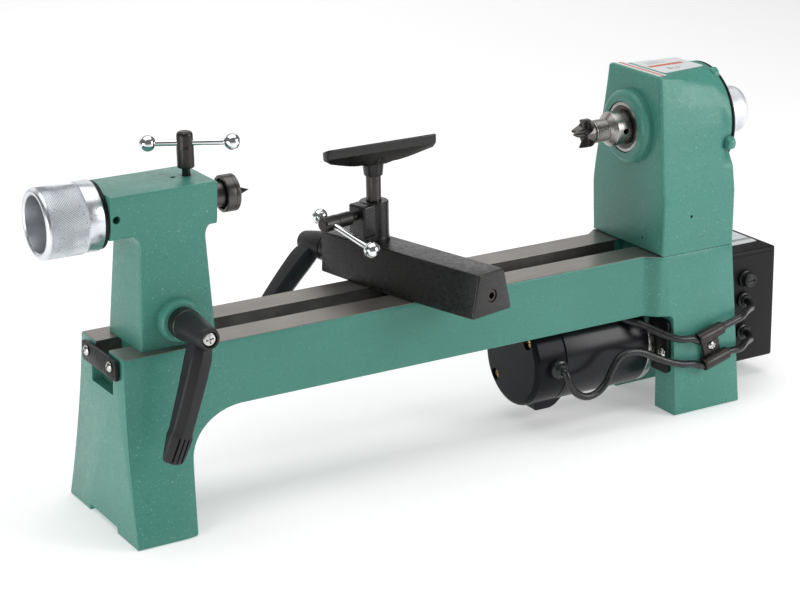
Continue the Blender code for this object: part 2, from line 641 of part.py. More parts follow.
def make_lead(name, points):
    curve = bpy.data.curves.new(name, "CURVE")
    curve.dimensions = "3D"
    curve.bevel_depth = LEAD_D / 2
    curve.bevel_resolution = 2
    curve.use_fill_caps = True
    route = smooth_route(points, 0.0125)
    line = curve.splines.new("POLY")
    line.points.add(len(route) - 1)
    for point, place_at in zip(line.points, route):
        point.co = (*place_at, 1.0)
    lead = place(name, meshed(curve), RUBBER)
    return smooth(lead, 60)


def make_gland(name, at, turn, base=0.0072, length=0.0105):
    outline = [(0.0, 0.0), (0.0, base), (0.0026, base), (0.0034, base - 0.0012),
               (length - 0.0012, 0.0050), (length, 0.0042), (length, 0.0)]
    return turned(name, outline, RUBBER, sides=20, at=at, turn=turn)


def make_leads():
    along = 0.0142
    make_lead("motor_lead", MOTOR_LEAD_ROUTE + [clip_point(-along, -CLIP_SPAN), clip_point(0, -CLIP_SPAN),
                                                clip_point(along, -CLIP_SPAN)]
              + to_box_gland(LOWER_GLAND_Z, 0.0040))
    make_lead("sensor_lead", SENSOR_LEAD_ROUTE + [clip_point(-along, CLIP_SPAN), clip_point(0, CLIP_SPAN),
                                                  clip_point(along, CLIP_SPAN)]
              + to_box_gland(UPPER_GLAND_Z, 0.0034))
    gland = make_gland("motor_gland", MOTOR_GLAND_AT, TOWARDS_NEAR, base=0.0080, length=0.0103)
    boolean(gland, rod("gland_seat", MOTOR_R + 0.0004, 0.370, 0.410, at=(0, MOTOR_Y, MOTOR_Z), turn=ALONG_X,
                       sides=36))
    relief = turned("sensor_gland",
                    [(0.0, 0.0), (0.0, 0.0062), (0.0020, 0.0062), (0.0100, 0.0048), (0.0106, 0.0)],
                    RUBBER, sides=16, at=(0.3840, MOTOR_Y, 0.1024), turn=ALONG_X)
    boolean(relief, rod("relief_seat", MOTOR_R + 0.0004, 0.370, 0.410, at=(0, MOTOR_Y, MOTOR_Z), turn=ALONG_X,
                        sides=48))
    for name, z in (("box_gland_upper", UPPER_GLAND_Z), ("box_gland_lower", LOWER_GLAND_Z)):
        make_gland(name, (BOX_GLAND_X, BOX_LOW[1] - GAP, z), TOWARDS_NEAR, length=0.0058)


def make_clip():
    """Two saddles on one plate, held to the foot by one screw."""
    half = 0.0130
    tilt = (0.0, CLIP_TURN, 0.0)
    clip = block("lead_clip", (-0.0085, -0.0022, -0.0150), (0.0085, -GAP, 0.0150), BLACK, at=CLIP_AT,
                 turn=tilt)
    for across in (-CLIP_SPAN, CLIP_SPAN):
        saddle = rod(f"saddle_{across:.3f}", 0.0056, -half, half, at=clip_point(0, across),
                     turn=(0, math.pi / 2 + CLIP_TURN, 0), sides=20)
        boolean(clip, saddle, "UNION")
    for across in (-CLIP_SPAN, CLIP_SPAN):
        boolean(clip, rod(f"lead_way_{across:.3f}", LEAD_D / 2 + GAP, -0.02, 0.02, at=clip_point(0, across),
                          turn=(0, math.pi / 2 + CLIP_TURN, 0), sides=16))
    boolean(clip, block("clip_back", (-0.03, -GAP, -0.03), (0.03, 0.02, 0.03), at=CLIP_AT, turn=tilt))
    boolean(clip, rod("clip_screw_hole", 0.0021, -0.010, 0.010, at=CLIP_AT, turn=TOWARDS_NEAR, sides=12))
    turned("lead_clip_screw", [(0.0001, 0.0), (0.0001, 0.0018), (0.0025, 0.0018), (0.0025, 0.0040),
                               (0.0040, 0.0034), (0.0047, 0.0020), (0.0050, 0.0)], STEEL, sides=16,
           at=CLIP_AT, turn=TOWARDS_NEAR)


def make_control_box():
    low, high = Vector(BOX_LOW), Vector(BOX_HIGH)
    wall = 0.0020
    box = block("control_box", low, high - Vector((0, 0.003, 0)), BLACK)
    bevel(box, 0.0016, 2)
    boolean(box, block("box_inside", low + Vector((wall, wall, wall)), high + Vector((-wall, 0.02, -wall))))
    for name, z in (("upper", UPPER_GLAND_Z), ("lower", LOWER_GLAND_Z)):
        boolean(box, rod(f"{name}_gland_hole", 0.0035, -0.01, 0.01, at=(BOX_GLAND_X, low.y, z),
                         turn=TOWARDS_NEAR, sides=12))
    panel = block("control_panel", (low.x, high.y - 0.0027, low.z), (high.x, high.y - 0.0007, high.z), BLACK)
    bevel(panel, 0.0006, 1)
    knob_at = (0.5930, high.y, 0.0880)
    switch_at = Vector((0.5930, high.y, 0.0480))
    boolean(panel, rod("knob_shaft_hole", 0.0036, -0.01, 0.01, at=knob_at, turn=TOWARDS_FAR, sides=16))
    half = Vector((0.0118, 0.010, 0.0066))
    boolean(panel, block("switch_hole", switch_at - half, switch_at + half))
    turned("speed_knob", [(-0.0080, 0.0), (-0.0080, 0.0030), (0.0, 0.0030), (0.0, 0.0135), (0.0020, 0.0138),
                          (0.0110, 0.0122), (0.0130, 0.0108), (0.0130, 0.0)], PLASTIC, sides=28,
           at=knob_at, turn=TOWARDS_FAR)
    rocker = [(-0.0100, -0.0060), (0.0100, -0.0060), (0.0100, 0.0008), (0.0, 0.0016), (-0.0100, 0.0042)]
    plate("power_switch", rocker, -0.0060, 0.0060, PLASTIC, at=switch_at, turn=(0, 0, 0))
    turned("fuse_cap", [(0.0, 0.0), (0.0, 0.0078), (0.0030, 0.0078), (0.0035, 0.0066), (0.0080, 0.0062),
                        (0.0088, 0.0054), (0.0088, 0.0)], PLASTIC, sides=24,
           at=(0.5945, low.y - GAP, 0.0925), turn=TOWARDS_NEAR)
    make_gland("mains_gland", (0.6080, 0.0200, low.z - GAP), (math.pi, 0, 0), length=0.0115)


# ------------------------------------------------------------------ tailstock
def column_section(z):
    """Section of the tailstock's column: tapered from the bed up to the barrel's own width."""
    t = (z - BED_TOP) / (BARREL_Z[0] - BED_TOP)
    half = blend(0.0300, 0.0248, t)
    left = blend(0.0181, 0.0248, t)
    right = blend(0.0800, 0.0772, t)
    cut = 0.0030
    return [(left + cut, -half, z), (right - cut, -half, z), (right, -half + cut, z), (right, half - cut, z),
            (right - cut, half, z), (left + cut, half, z), (left, half - cut, z), (left, -half + cut, z)]


def barrel_outline():
    """End view of the barrel, y and z: drafted sides, a flat top, rounded lower edges."""
    low, high = BARREL_Z
    half = [(0.0, low), (0.0195, low), (0.0240, low + 0.0018), (0.0255, low + 0.0060),
            (0.0283, high - 0.0008), (0.0275, high), (0.0, high)]
    return half + [(-y, z) for y, z in half[-2:0:-1]]


def make_tailstock():
    clamp_x, clamp_z = TAIL_CLAMP
    heights = (BED_TOP + GAP, 0.170, 0.200, BARREL_Z[0] - 0.004, BARREL_Z[0] + 0.008)
    tail = loft("tailstock_casting", [column_section(z) for z in heights], GREEN)
    barrel = loft("barrel", [[(x, y, z) for y, z in barrel_outline()] for x in BARREL_X])
    boolean(tail, barrel, "UNION")
    boss = [(-0.010, 0.0), (-0.010, 0.0165), (0.0070, 0.0165), (0.0085, 0.0150), (0.0085, 0.0)]
    boolean(tail, turned("clamp_boss", boss, at=(clamp_x, TAIL_BOSS_Y + 0.0085, clamp_z), turn=TOWARDS_NEAR,
                         sides=28), "UNION")
    tongue = block("tongue", (0.0205, -0.0118, 0.1300), (0.0770, 0.0118, 0.1500))
    boolean(tail, tongue, "UNION")
    # hollow for the clamp, open below
    boolean(tail, block("clamp_hollow", (0.0320, -0.0100, 0.120), (0.0680, 0.0100, 0.1780)))
    boolean(tail, rod("clamp_bore", 0.0058, -0.050, 0.060, at=(clamp_x, 0, clamp_z), turn=TOWARDS_NEAR,
                      sides=20))
    boolean(tail, rod("quill_bore", QUILL_R + GAP, -0.010, 0.100, at=(0, 0, AXIS_Z), turn=ALONG_X, sides=28))
    boolean(tail, rod("grub_hole", 0.0030, 0.0180, 0.040, at=(0.0042, 0, 0.2432), turn=TOWARDS_NEAR,
                      sides=16))
    boolean(tail, rod("oil_hole", 0.0021, 0.2580, 0.280, at=(0.0640, 0, 0), sides=12))
    boolean(tail, rod("lock_hole", 0.0035, 0.240, 0.280, at=(QUILL_LOCK_X, 0, 0), sides=16))
    return smooth(tail, 30)


def make_quill():
    quill = [(0.0110, 0.0064), (0.0110, QUILL_R), (0.0925, QUILL_R), (0.0932, QUILL_R - 0.0007),
             (0.0932, 0.0064)]
    turned("quill", quill, STEEL, sides=28, at=(0, 0, AXIS_Z), turn=ALONG_X)
    screw = [(-0.0110, 0.0), (-0.0110, 0.0050), (0.0020, 0.0050), (0.0020, 0.0105), (0.0068, 0.0105),
             (0.0068, 0.0060), (0.0520, 0.0060), (0.0520, 0.0)]
    turned("quill_screw", screw, STEEL, sides=16, at=(0, 0, AXIS_Z), turn=ALONG_X)
    collar = [(-0.0010, 0.0108), (-0.0010, 0.0255), (0.0014, 0.0255), (0.0014, 0.0108)]
    turned("thrust_collar", collar, BLACK, sides=28, at=(0, 0, AXIS_Z), turn=ALONG_X)
    start, end = WHEEL_X
    wheel = [(start, 0.0213), (start, 0.0253), (start + 0.0018, WHEEL_R), (end - 0.0135, WHEEL_R),
             (end - 0.0128, WHEEL_R - 0.0004), (end - 0.0016, WHEEL_R - 0.0004), (end, WHEEL_R - 0.0018),
             (end, 0.0053), (start + 0.0340, 0.0053), (start + 0.0340, 0.0202), (start + 0.0012, 0.0206)]
    turned("tailstock_handwheel", wheel, ALUMINIUM, sides=32, at=(0, 0, AXIS_Z), turn=ALONG_X)


def make_live_centre():
    arbor = [(0.0560, 0.0), (0.0560, 0.0050), (0.0936, 0.0060), (0.0936, 0.0090), (0.1050, 0.0100),
             (0.1058, 0.0092), (0.1058, 0.0030), (0.1086, 0.0030), (0.1086, 0.0)]
    turned("live_centre_arbor", arbor, DARK_STEEL, sides=20, at=(0, 0, AXIS_Z), turn=ALONG_X)
    cup = [(0.1262, 0.0), (0.1150, 0.0040), (0.1110, 0.0044), (0.1110, 0.0108), (0.1134, 0.0124),
           (0.1134, 0.0136), (0.1125, CUP_R), (0.1031, CUP_R), (0.1023, 0.0136), (0.1023, 0.0118),
           (0.1062, 0.0118), (0.1062, 0.0034), (0.1092, 0.0034), (0.1092, 0.0)]
    turned("live_centre_cup", cup, DARK_STEEL, sides=28, at=(0, 0, AXIS_Z), turn=ALONG_X)


def bar_outline(left, right):
    """Sliding tommy bar: a ball at each end, centres at -left and right."""
    ball, bar = 0.0064, 0.0023
    meet = math.degrees(math.asin(bar / ball))
    lower = [(z - left, r) for z, r in arc((0, 0), ball, 180, meet, 5)]
    upper = [(z + right, r) for z, r in arc((0, 0), ball, 180 - meet, 0, 5)]
    lower[0] = (-left - ball, 0.0)
    upper[-1] = (right + ball, 0.0)
    return lower + upper


def make_quill_lock():
    at = (QUILL_LOCK_X, 0, 0)
    bar_z = 0.2855
    turn_z = math.radians(-28.6)
    # z of the shank's tip is just above the quill, the head stands above the barrel
    head = [(AXIS_Z + QUILL_R + GAP, 0.0), (AXIS_Z + QUILL_R + GAP, 0.0032), (0.2665, 0.0032), (0.2667, 0.0060),
            (0.2677, 0.0065), (0.2820, 0.0065), (0.2855, 0.0062), (0.2915, 0.0062), (0.2935, 0.0052),
            (0.2942, 0.0)]
    screw = turned("quill_lock_screw", head, DARK_STEEL, sides=24, at=at)
    across = (math.pi / 2, 0, turn_z + math.pi / 2)
    boolean(screw, rod("quill_bar_hole", 0.0026, -0.01, 0.01, at=(QUILL_LOCK_X, 0, bar_z), turn=across,
                       sides=16))
    turned("quill_lock_bar", bar_outline(0.0277, 0.0347), CHROME, sides=16,
           at=(QUILL_LOCK_X, 0, bar_z), turn=across)


def lever_handle(name, axis_end, mat, base=0.0102, **where):
    """Adjustable clamping lever: a conical hub along z, an arm along +x from the hub's outer end."""
    hub_start = base
    well = 0.0088
    hub = turned(name, [(hub_start, 0.0058), (hub_start, 0.0118), (hub_start + 0.014, 0.0112),
                        (axis_end - 0.002, LEVER_TIP_R), (axis_end, LEVER_TIP_R - 0.0012),
                        (axis_end, 0.0060), (axis_end - well, 0.0060), (axis_end - well, 0.0034),
                        (hub_start + 0.010, 0.0034), (hub_start + 0.010, 0.0058)], mat, sides=24, **where)

    def arm_section(along, width, low, high):
        half = width / 2
        c = 0.28 * width
        return [(along, -half, low + c * 0.6), (along, -half + c, low), (along, half - c, low),
                (along, half, low + c * 0.6), (along, half, high - c * 0.8), (along, 0.12 * width, high),
                (along, -0.12 * width, high), (along, -half, high - c * 0.8)]

    end = axis_end - 0.0010
    # along the arm, its width, and how far its lower and upper faces lie below the end
    stations = ((0.0070, 0.0150, 0.0200, 0.0030), (0.0160, 0.0162, 0.0190, 0.0010),
                (0.0400, 0.0160, 0.0165, 0.0),
                (0.0720, 0.0156, 0.0150, 0.0010), (0.0760, 0.0178, 0.0150, 0.0010),
                (0.0800, 0.0176, 0.0145, 0.0015),
                (0.0930, 0.0162, 0.0130, 0.0030), (0.0975, 0.0120, 0.0115, 0.0050))
    arm = loft(f"{name}_arm",
               [arm_section(x, width, end - low, end - high) for x, width, low, high in stations],
               **where)
    boolean(hub, arm, "UNION")
    return hub


def screw_head(name, axis_end, foot, **where):
    """Cross-head screw that keeps a clamping lever on its shaft."""
    screw = turned(name, [(foot, 0.0), (foot, 0.0028), (axis_end - 0.0036, 0.0028), (axis_end - 0.0036, 0.0055),
                          (axis_end - 0.0012, 0.0055), (axis_end - 0.0004, 0.0040), (axis_end - 0.0002, 0.0)],
                   STEEL, sides=20, **where)
    for turn_by in (0.0, math.pi / 2):
        spot = Matrix.Translation(where["at"]) @ euler(where["turn"]) @ Matrix.Rotation(turn_by + 0.5, 4, "Z")
        slot = block(f"{name}_slot_{turn_by:.1f}", (-0.0030, -0.0005, axis_end - 0.0018),
                     (0.0030, 0.0005, axis_end + 0.0020), parent=where.get("parent"))
        slot.location = spot.to_translation()
        slot.rotation_euler = spot.to_euler()
        boolean(screw, slot)
    return screw


def euler(turn):
    return (Matrix.Rotation(turn[2], 4, "Z") @ Matrix.Rotation(turn[1], 4, "Y")
            @ Matrix.Rotation(turn[0], 4, "X"))


def make_tailstock_clamp():
    x, z = TAIL_CLAMP
    at = (x, TAIL_BOSS_Y, z)
    end = 0.0470
    hub = 0.0098
    shaft = [(-0.0640, 0.0), (-0.0640, 0.0055), (GAP, 0.0055), (GAP, 0.0122), (hub - 0.0008, 0.0122),
             (hub, 0.0116), (hub, 0.0055), (0.0198, 0.0055), (0.0198, 0.0), ]
    turned("tailstock_clamp_shaft", shaft, DARK_STEEL, sides=24, at=at, turn=TOWARDS_NEAR)
    # the arm's direction: +x of the lever turned down and towards the tail end
    turn = Matrix.Rotation(math.pi / 2 + LEVER_LEAN, 4, "Y") @ Matrix.Rotation(math.pi / 2, 4, "X")
    angles = tuple(turn.to_euler())
    lever_handle("tailstock_lock_handle", end, PLASTIC, at=at, turn=angles)
    screw_head("tailstock_handle_screw", end - 0.0002, 0.0202, at=at, turn=angles)
    bolt = rod("tailstock_clamp_bolt", 0.0040, 0.1135, 0.1520, DARK_STEEL, sides=16, at=(x, 0, 0))
    boolean(bolt, rod("tail_bolt_eye", 0.0085, -0.0045, 0.0045, at=(x, 0, z), turn=TOWARDS_NEAR, sides=20),
            "UNION")
    boolean(bolt, rod("tail_bolt_eye_hole", 0.0058, -0.02, 0.02, at=(x, 0, z), turn=TOWARDS_NEAR, sides=20))
    clamp = block("tailstock_clamp_plate", (x - 0.0160, -0.0240, 0.1120), (x + 0.0160, 0.0240, 0.1216),
                  DARK_STEEL)
    bevel(clamp, 0.0012, 1)
    boolean(clamp, rod("tail_plate_hole", 0.0043, 0.100, 0.130, at=(x, 0, 0), sides=16))


# ------------------------------------------------------------------ tool rest
def banjo_section(y, bottom_half, top_half):
    low, high = BED_TOP + GAP, BANJO_TOP
    return [(-bottom_half, y, low), (bottom_half, y, low), (bottom_half - 0.0008, y, low + 0.006),
            (top_half, y, high), (-top_half, y, high), (-bottom_half + 0.0008, y, low + 0.006)]


def make_banjo():
    sections = [banjo_section(BANJO_NEAR, 0.0211, 0.0137), banjo_section(-0.064, 0.0218, 0.0142),
                banjo_section(0.010, 0.0190, 0.0148), banjo_section(BANJO_FAR, 0.0165, 0.0150)]
    carrier = loft("banjo_casting", sections, BLACK, parent=BANJO_FRAME)
    bevel(carrier, 0.0012, 1, 50)
    socket = rod("post_boss", 0.0119, 0.160, BLOCK_TOP, sides=28, parent=BANJO_FRAME)
    boolean(carrier, socket, "UNION")
    lug = block("lock_block", (-0.0193, -0.0090, 0.1800), (0.0, 0.0090, BLOCK_TOP - 0.0006), parent=BANJO_FRAME)
    bevel(lug, 0.0012, 1)
    boolean(carrier, lug, "UNION")
    boolean(carrier, rod("post_bore", POST_R + GAP, 0.1450, 0.220, sides=24, parent=BANJO_FRAME))
    boolean(carrier, rod("lock_bore", 0.0036, -0.030, 0.0, parent=BANJO_FRAME, at=(0, 0, 0.1975), turn=ALONG_X,
                         sides=16))
    # hollow under the carrier for the clamp, open below
    boolean(carrier, block("carrier_hollow", (-0.0095, -0.1120, 0.130), (0.0095, -0.0105, 0.1660),
                           parent=BANJO_FRAME))
    boolean(carrier, rod("cam_bore", 0.0053, -0.060, 0.140, parent=BANJO_FRAME, at=(0, 0, CAM_Z),
                         turn=TOWARDS_NEAR,
                         sides=20))
    return carrier


def make_banjo_clamp():
    start = BANJO_FAR + GAP
    hub = start + 0.0090
    cam = [(BANJO_NEAR + 0.0006, 0.0), (BANJO_NEAR + 0.0006, 0.0050), (-0.0085, 0.0050), (start, 0.0050)]
    shaft = cam + [(start, 0.0118), (hub - 0.0008, 0.0118), (hub, 0.0112), (hub, 0.0055), (hub + 0.0080, 0.0055),
                   (hub + 0.0080, 0.0)]
    rod_piece = turned("banjo_cam_rod", shaft, DARK_STEEL, sides=24, parent=BANJO_FRAME, at=(0, 0, CAM_Z),
                       turn=TOWARDS_FAR)
    boolean(rod_piece, hexagon("rod_socket", 0.0028, BANJO_NEAR - 0.004, BANJO_NEAR + 0.0060,
                               parent=BANJO_FRAME, at=(0, 0, CAM_Z), turn=TOWARDS_FAR))
    arm = math.pi / 2 + BANJO_LEVER_TURN
    turn = Matrix.Rotation(arm, 4, "Y") @ Matrix.Rotation(-math.pi / 2, 4, "X")
    angles = tuple(turn.to_euler())
    at = (0, start, CAM_Z)
    end = BANJO_HUB_END - start
    lever_handle("banjo_lock_handle", end, PLASTIC, base=0.0094, at=at, turn=angles, parent=BANJO_FRAME)
    screw_head("banjo_handle_screw", end - 0.0002, 0.0175, at=at, turn=angles, parent=BANJO_FRAME)
    bolt = rod("banjo_clamp_bolt", 0.0040, 0.1135, 0.1500, DARK_STEEL, sides=16, at=(0, CLAMP_Y, 0),
               parent=BANJO_FRAME)
    eye = {"at": (0, CLAMP_Y, CAM_Z), "turn": TOWARDS_NEAR, "sides": 20, "parent": BANJO_FRAME}
    boolean(bolt, rod("banjo_bolt_eye", 0.0080, -0.0045, 0.0045, **eye), "UNION")
    boolean(bolt, rod("banjo_bolt_eye_hole", 0.0053, -0.02, 0.02, **eye))
    x = POST_AT[0] - CLAMP_Y * math.sin(BANJO_TURN)
    washer = block("banjo_clamp_plate", (x - 0.0190, -0.0240, 0.1120), (x + 0.0190, 0.0240, 0.1216),
                   DARK_STEEL)
    bevel(washer, 0.0012, 1)
    boolean(washer, rod("banjo_plate_hole", 0.0043, 0.100, 0.130, at=(x, 0, 0), sides=16))


REST_HALF = 0.0495
REST_EDGE_Y = -0.0160   # the working edge stands ahead of the post, towards the spindle line
REST_TOP = 0.2580
REST_LOW = 0.2370


def rest_section(x, keel):
    """Section of the tool rest: band at the edge, face sloping back, keel under the middle.

    keel is 0 at the thin ends and 1 over the post.
    """
    edge = REST_EDGE_Y
    depth = blend(0.0070, 0.0270, keel)
    root = edge + blend(0.0030, 0.0090, keel)
    back = REST_TOP - 0.38 * depth
    return [(x, edge, REST_TOP - 0.0080), (x, edge, REST_TOP - 0.0010), (x, edge + 0.0012, REST_TOP),
            (x, edge + depth, back), (x, edge + depth - 0.0010, back - blend(0.0050, 0.0040, keel)),
            (x, root + blend(0.0025, 0.0120, keel), blend(REST_TOP - 0.0100, REST_LOW, keel)),
            (x, root, blend(REST_TOP - 0.0100, REST_LOW, keel))]


def make_tool_rest():
    """The rest stands square to the lathe, its post in the carrier's socket."""
    stations = ((-REST_HALF, 0.10), (-REST_HALF + 0.004, 0.18), (-0.0140, 0.86), (-0.0080, 1.0), (0.0080, 1.0),
                (0.0140, 0.86), (REST_HALF - 0.004, 0.10), (REST_HALF, 0.05))
    rest = loft("tool_rest", [rest_section(x, keel) for x, keel in stations], BLACK, parent=REST_FRAME)
    bevel(rest, 0.0008, 1, 40)
    neck = turned("rest_neck", [(0.2275, 0.0), (0.2275, 0.0070), (0.2285, 0.0077), (0.2400, 0.0086),
                                (0.2440, 0.0088), (0.2440, 0.0)], sides=24, parent=REST_FRAME)
    boolean(rest, neck, "UNION")
    boolean(rest, rod("post_seat", POST_R + GAP, 0.2100, 0.2380, sides=24, parent=REST_FRAME))
    turned("tool_rest_post", [(0.1790, 0.0), (0.1790, POST_R - 0.0006), (0.1796, POST_R), (0.2377, POST_R),
                              (0.2377, 0.0)], STEEL, sides=24, parent=REST_FRAME)


def make_rest_lock():
    z = 0.1975
    head = [(-0.0560, 0.0), (-0.0560, 0.0048), (-0.0547, 0.0058), (-0.0225, 0.0060), (-0.0212, 0.0052),
            (-0.0210, 0.0033), (-POST_R - GAP, 0.0033), (-POST_R - GAP, 0.0)]
    screw = turned("rest_lock_screw", head, DARK_STEEL, sides=24, parent=BANJO_FRAME, at=(0, 0, z),
                   turn=ALONG_X)
    slope = math.radians(14.7)
    across = (math.pi / 2 + slope, 0, 0)
    at = (REST_BAR_X, 0, z)
    boolean(screw, rod("rest_bar_hole", 0.0026, -0.01, 0.01, parent=BANJO_FRAME, at=at, turn=across,
                       sides=16))
    turned("rest_lock_bar", bar_outline(0.0130, 0.0482), CHROME, sides=16, parent=BANJO_FRAME, at=at,
           turn=across)


# ------------------------------------------------------------------ build
clear_scene()
PARTS = make_collection("wood_lathe")
CUTTERS = make_collection("cutters")
LATHE_FRAME = make_empty("lathe_frame", (-MIDDLE[0], -MIDDLE[1], 0.0))
BANJO_FRAME = make_empty("banjo_frame", (*POST_AT, 0.0), BANJO_TURN, LATHE_FRAME)
REST_FRAME = make_empty("rest_frame", (*POST_AT, 0.0), 0.0, LATHE_FRAME)

GREEN = paint("green_paint", (0.075, 0.300, 0.225), 0.42)
PLASTIC = paint("black_plastic", (0.020, 0.020, 0.021), 0.50)
BLACK = paint("black_paint", (0.018, 0.018, 0.019), 0.45)
RUBBER = paint("black_rubber", (0.012, 0.012, 0.012), 0.60)
STEEL = paint("bright_steel", (0.62, 0.61, 0.59), 0.30, 1.0)
DARK_STEEL = paint("dark_steel", (0.10, 0.095, 0.09), 0.38, 0.8)
ALUMINIUM = paint("aluminium", (0.80, 0.81, 0.83), 0.32, 1.0)
CHROME = paint("chrome", (0.90, 0.90, 0.91), 0.06, 1.0)
BRASS = paint("brass", (0.75, 0.55, 0.25), 0.35, 1.0)

make_bed()
make_stop_plate()
make_headstock()
make_bearing("front_bearing", 0.4724, 28)
make_bearing("rear_bearing", 0.5000, 16)
make_spindle()
make_spur_centre()
make_drive()
make_belt_cover()
make_motor()
make_leads()
make_clip()
make_control_box()
make_tailstock()
make_quill()
make_live_centre()
make_quill_lock()
make_tailstock_clamp()
make_banjo()
make_banjo_clamp()
make_tool_rest()
make_rest_lock()
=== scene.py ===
"""Looks of the benchtop wood lathe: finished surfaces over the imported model, in its own frame.

Metres, +Z up.  Pieces are made in the lathe's own coordinates: x from the bed's tail end towards
the headstock, y from the spindle line towards the operator, z above the bench.  HOME carries them
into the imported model's frame.
"""
import json
import math

import bmesh
import bpy
from mathutils import Euler, Matrix, Vector


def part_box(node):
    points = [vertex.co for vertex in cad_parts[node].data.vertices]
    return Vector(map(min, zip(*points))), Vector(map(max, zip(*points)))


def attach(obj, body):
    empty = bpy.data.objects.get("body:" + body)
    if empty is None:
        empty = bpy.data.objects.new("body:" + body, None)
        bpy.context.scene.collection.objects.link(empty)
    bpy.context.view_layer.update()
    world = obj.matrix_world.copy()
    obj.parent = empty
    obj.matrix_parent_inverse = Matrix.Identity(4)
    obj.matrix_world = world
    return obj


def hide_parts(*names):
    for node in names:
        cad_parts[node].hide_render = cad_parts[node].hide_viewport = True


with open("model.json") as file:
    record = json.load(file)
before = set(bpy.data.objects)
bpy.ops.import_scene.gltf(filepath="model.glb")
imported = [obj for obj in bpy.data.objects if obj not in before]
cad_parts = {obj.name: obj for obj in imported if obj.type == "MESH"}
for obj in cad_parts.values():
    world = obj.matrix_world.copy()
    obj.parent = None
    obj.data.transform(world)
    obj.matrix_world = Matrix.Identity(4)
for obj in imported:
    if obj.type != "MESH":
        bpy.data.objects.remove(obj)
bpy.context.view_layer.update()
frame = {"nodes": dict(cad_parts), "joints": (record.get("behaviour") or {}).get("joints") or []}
JOINTS = {joint["name"]: joint for joint in frame["joints"]}

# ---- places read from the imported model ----
BED_LOW, BED_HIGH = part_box("bed_casting")
SPINDLE = Vector(JOINTS["spindle_spin"]["pos_m"])
TAIL_LEAN = 0.0073
HOME = Matrix.Translation((BED_LOW.x + TAIL_LEAN, SPINDLE.y, BED_LOW.z))
BED_TOP = BED_HIGH.z
AXIS_Z = SPINDLE.z
BANJO_TURN = math.atan2(-JOINTS["banjo_reach"]["axis"][0], JOINTS["banjo_reach"]["axis"][1])
POST_AT = HOME.inverted() @ Vector(JOINTS["rest_swivel"]["pos_m"])
BANJO = HOME @ Matrix.Translation((POST_AT.x, POST_AT.y, 0)) @ Matrix.Rotation(BANJO_TURN, 4, "Z")
REST = HOME @ Matrix.Translation((POST_AT.x, POST_AT.y, 0))
MOTOR_AT = HOME.inverted() @ Vector(JOINTS["motor_spin"]["pos_m"])
CLAMP_AT = HOME.inverted() @ Vector(JOINTS["tailstock_lever_turn"]["pos_m"])
CAM_Z = JOINTS["banjo_lever_turn"]["pos_m"][2]
QUILL_LOCK_AT = HOME.inverted() @ Vector(JOINTS["quill_lock_turn"]["pos_m"])
GAP = 0.0003

TO_X = Matrix.Rotation(math.pi / 2, 4, "Y")        # a piece's own z axis turned to +x
TO_NEAR = Matrix.Rotation(math.pi / 2, 4, "X")     # ... to -y
TO_FAR = Matrix.Rotation(-math.pi / 2, 4, "X")     # ... to +y
FLAT_X = Euler((math.pi / 2, 0, math.pi / 2)).to_matrix().to_4x4()  # own x, y, z to y, z, x


def placed(x, y, z, turn=Matrix.Identity(4), base=HOME):
    """The frame of a piece: moved to a point of the lathe, then turned."""
    return base @ Matrix.Translation((x, y, z)) @ turn


def own_box(node):
    """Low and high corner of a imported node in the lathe's own coordinates."""
    return [HOME.inverted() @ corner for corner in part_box(node)]


ON_AXIS = placed(0, 0, AXIS_Z, TO_X)


# ------------------------------------------------------------------ small maths
def blend(a, b, t):
    return a + (b - a) * t


def ramp(value, start, end):
    t = min(max((value - start) / (end - start), 0.0), 1.0)
    return t * t * (3 - 2 * t)


def arc(centre, radius, start, end, steps):
    angles = [math.radians(blend(start, end, i / steps)) for i in range(steps + 1)]
    return [(centre[0] + radius * math.cos(a), centre[1] + radius * math.sin(a)) for a in angles]


def rounded(points, radius, closed=False, steps=3, every=False):
    """A polyline with its corners rounded; open ends stay, and so do near-straight corners unless every."""
    count = len(points)
    result = []
    for i, point in enumerate(points):
        p = Vector(point)
        before, after = Vector(points[i - 1]) - p, Vector(points[(i + 1) % count]) - p
        open_end = not closed and i in (0, count - 1)
        if open_end or before.length < 1e-7 or after.length < 1e-7:
            result.append(tuple(point))
            continue
        angle = before.angle(after)
        if angle > math.radians(172) and not every:
            result.append(tuple(point))
            continue
        reach = max(radius / math.tan(angle / 2), 0.00002)
        reach = min(reach, before.length * 0.45, after.length * 0.45)
        start, end = p + before.normalized() * reach, p + after.normalized() * reach
        for k in range(steps + 1):
            t = k / steps
            result.append(tuple(start * (1 - t) ** 2 + p * 2 * t * (1 - t) + end * t * t))
    return result


def rectangle(left, low, right, high, corner=0.0, steps=5, every=False):
    outline = [(left, low), (right, low), (right, high), (left, high)]
    return rounded(outline, corner, True, steps, every) if corner else outline


# ------------------------------------------------------------------ mesh helpers
def new_object(name, bm, where=None):
    mesh = bpy.data.meshes.new(name)
    bmesh.ops.recalc_face_normals(bm, faces=bm.faces)
    bm.to_mesh(mesh)
    bm.free()
    obj = bpy.data.objects.new(name, mesh)
    bpy.context.scene.collection.objects.link(obj)
    obj.matrix_world = where if where is not None else Matrix.Identity(4)
    return obj


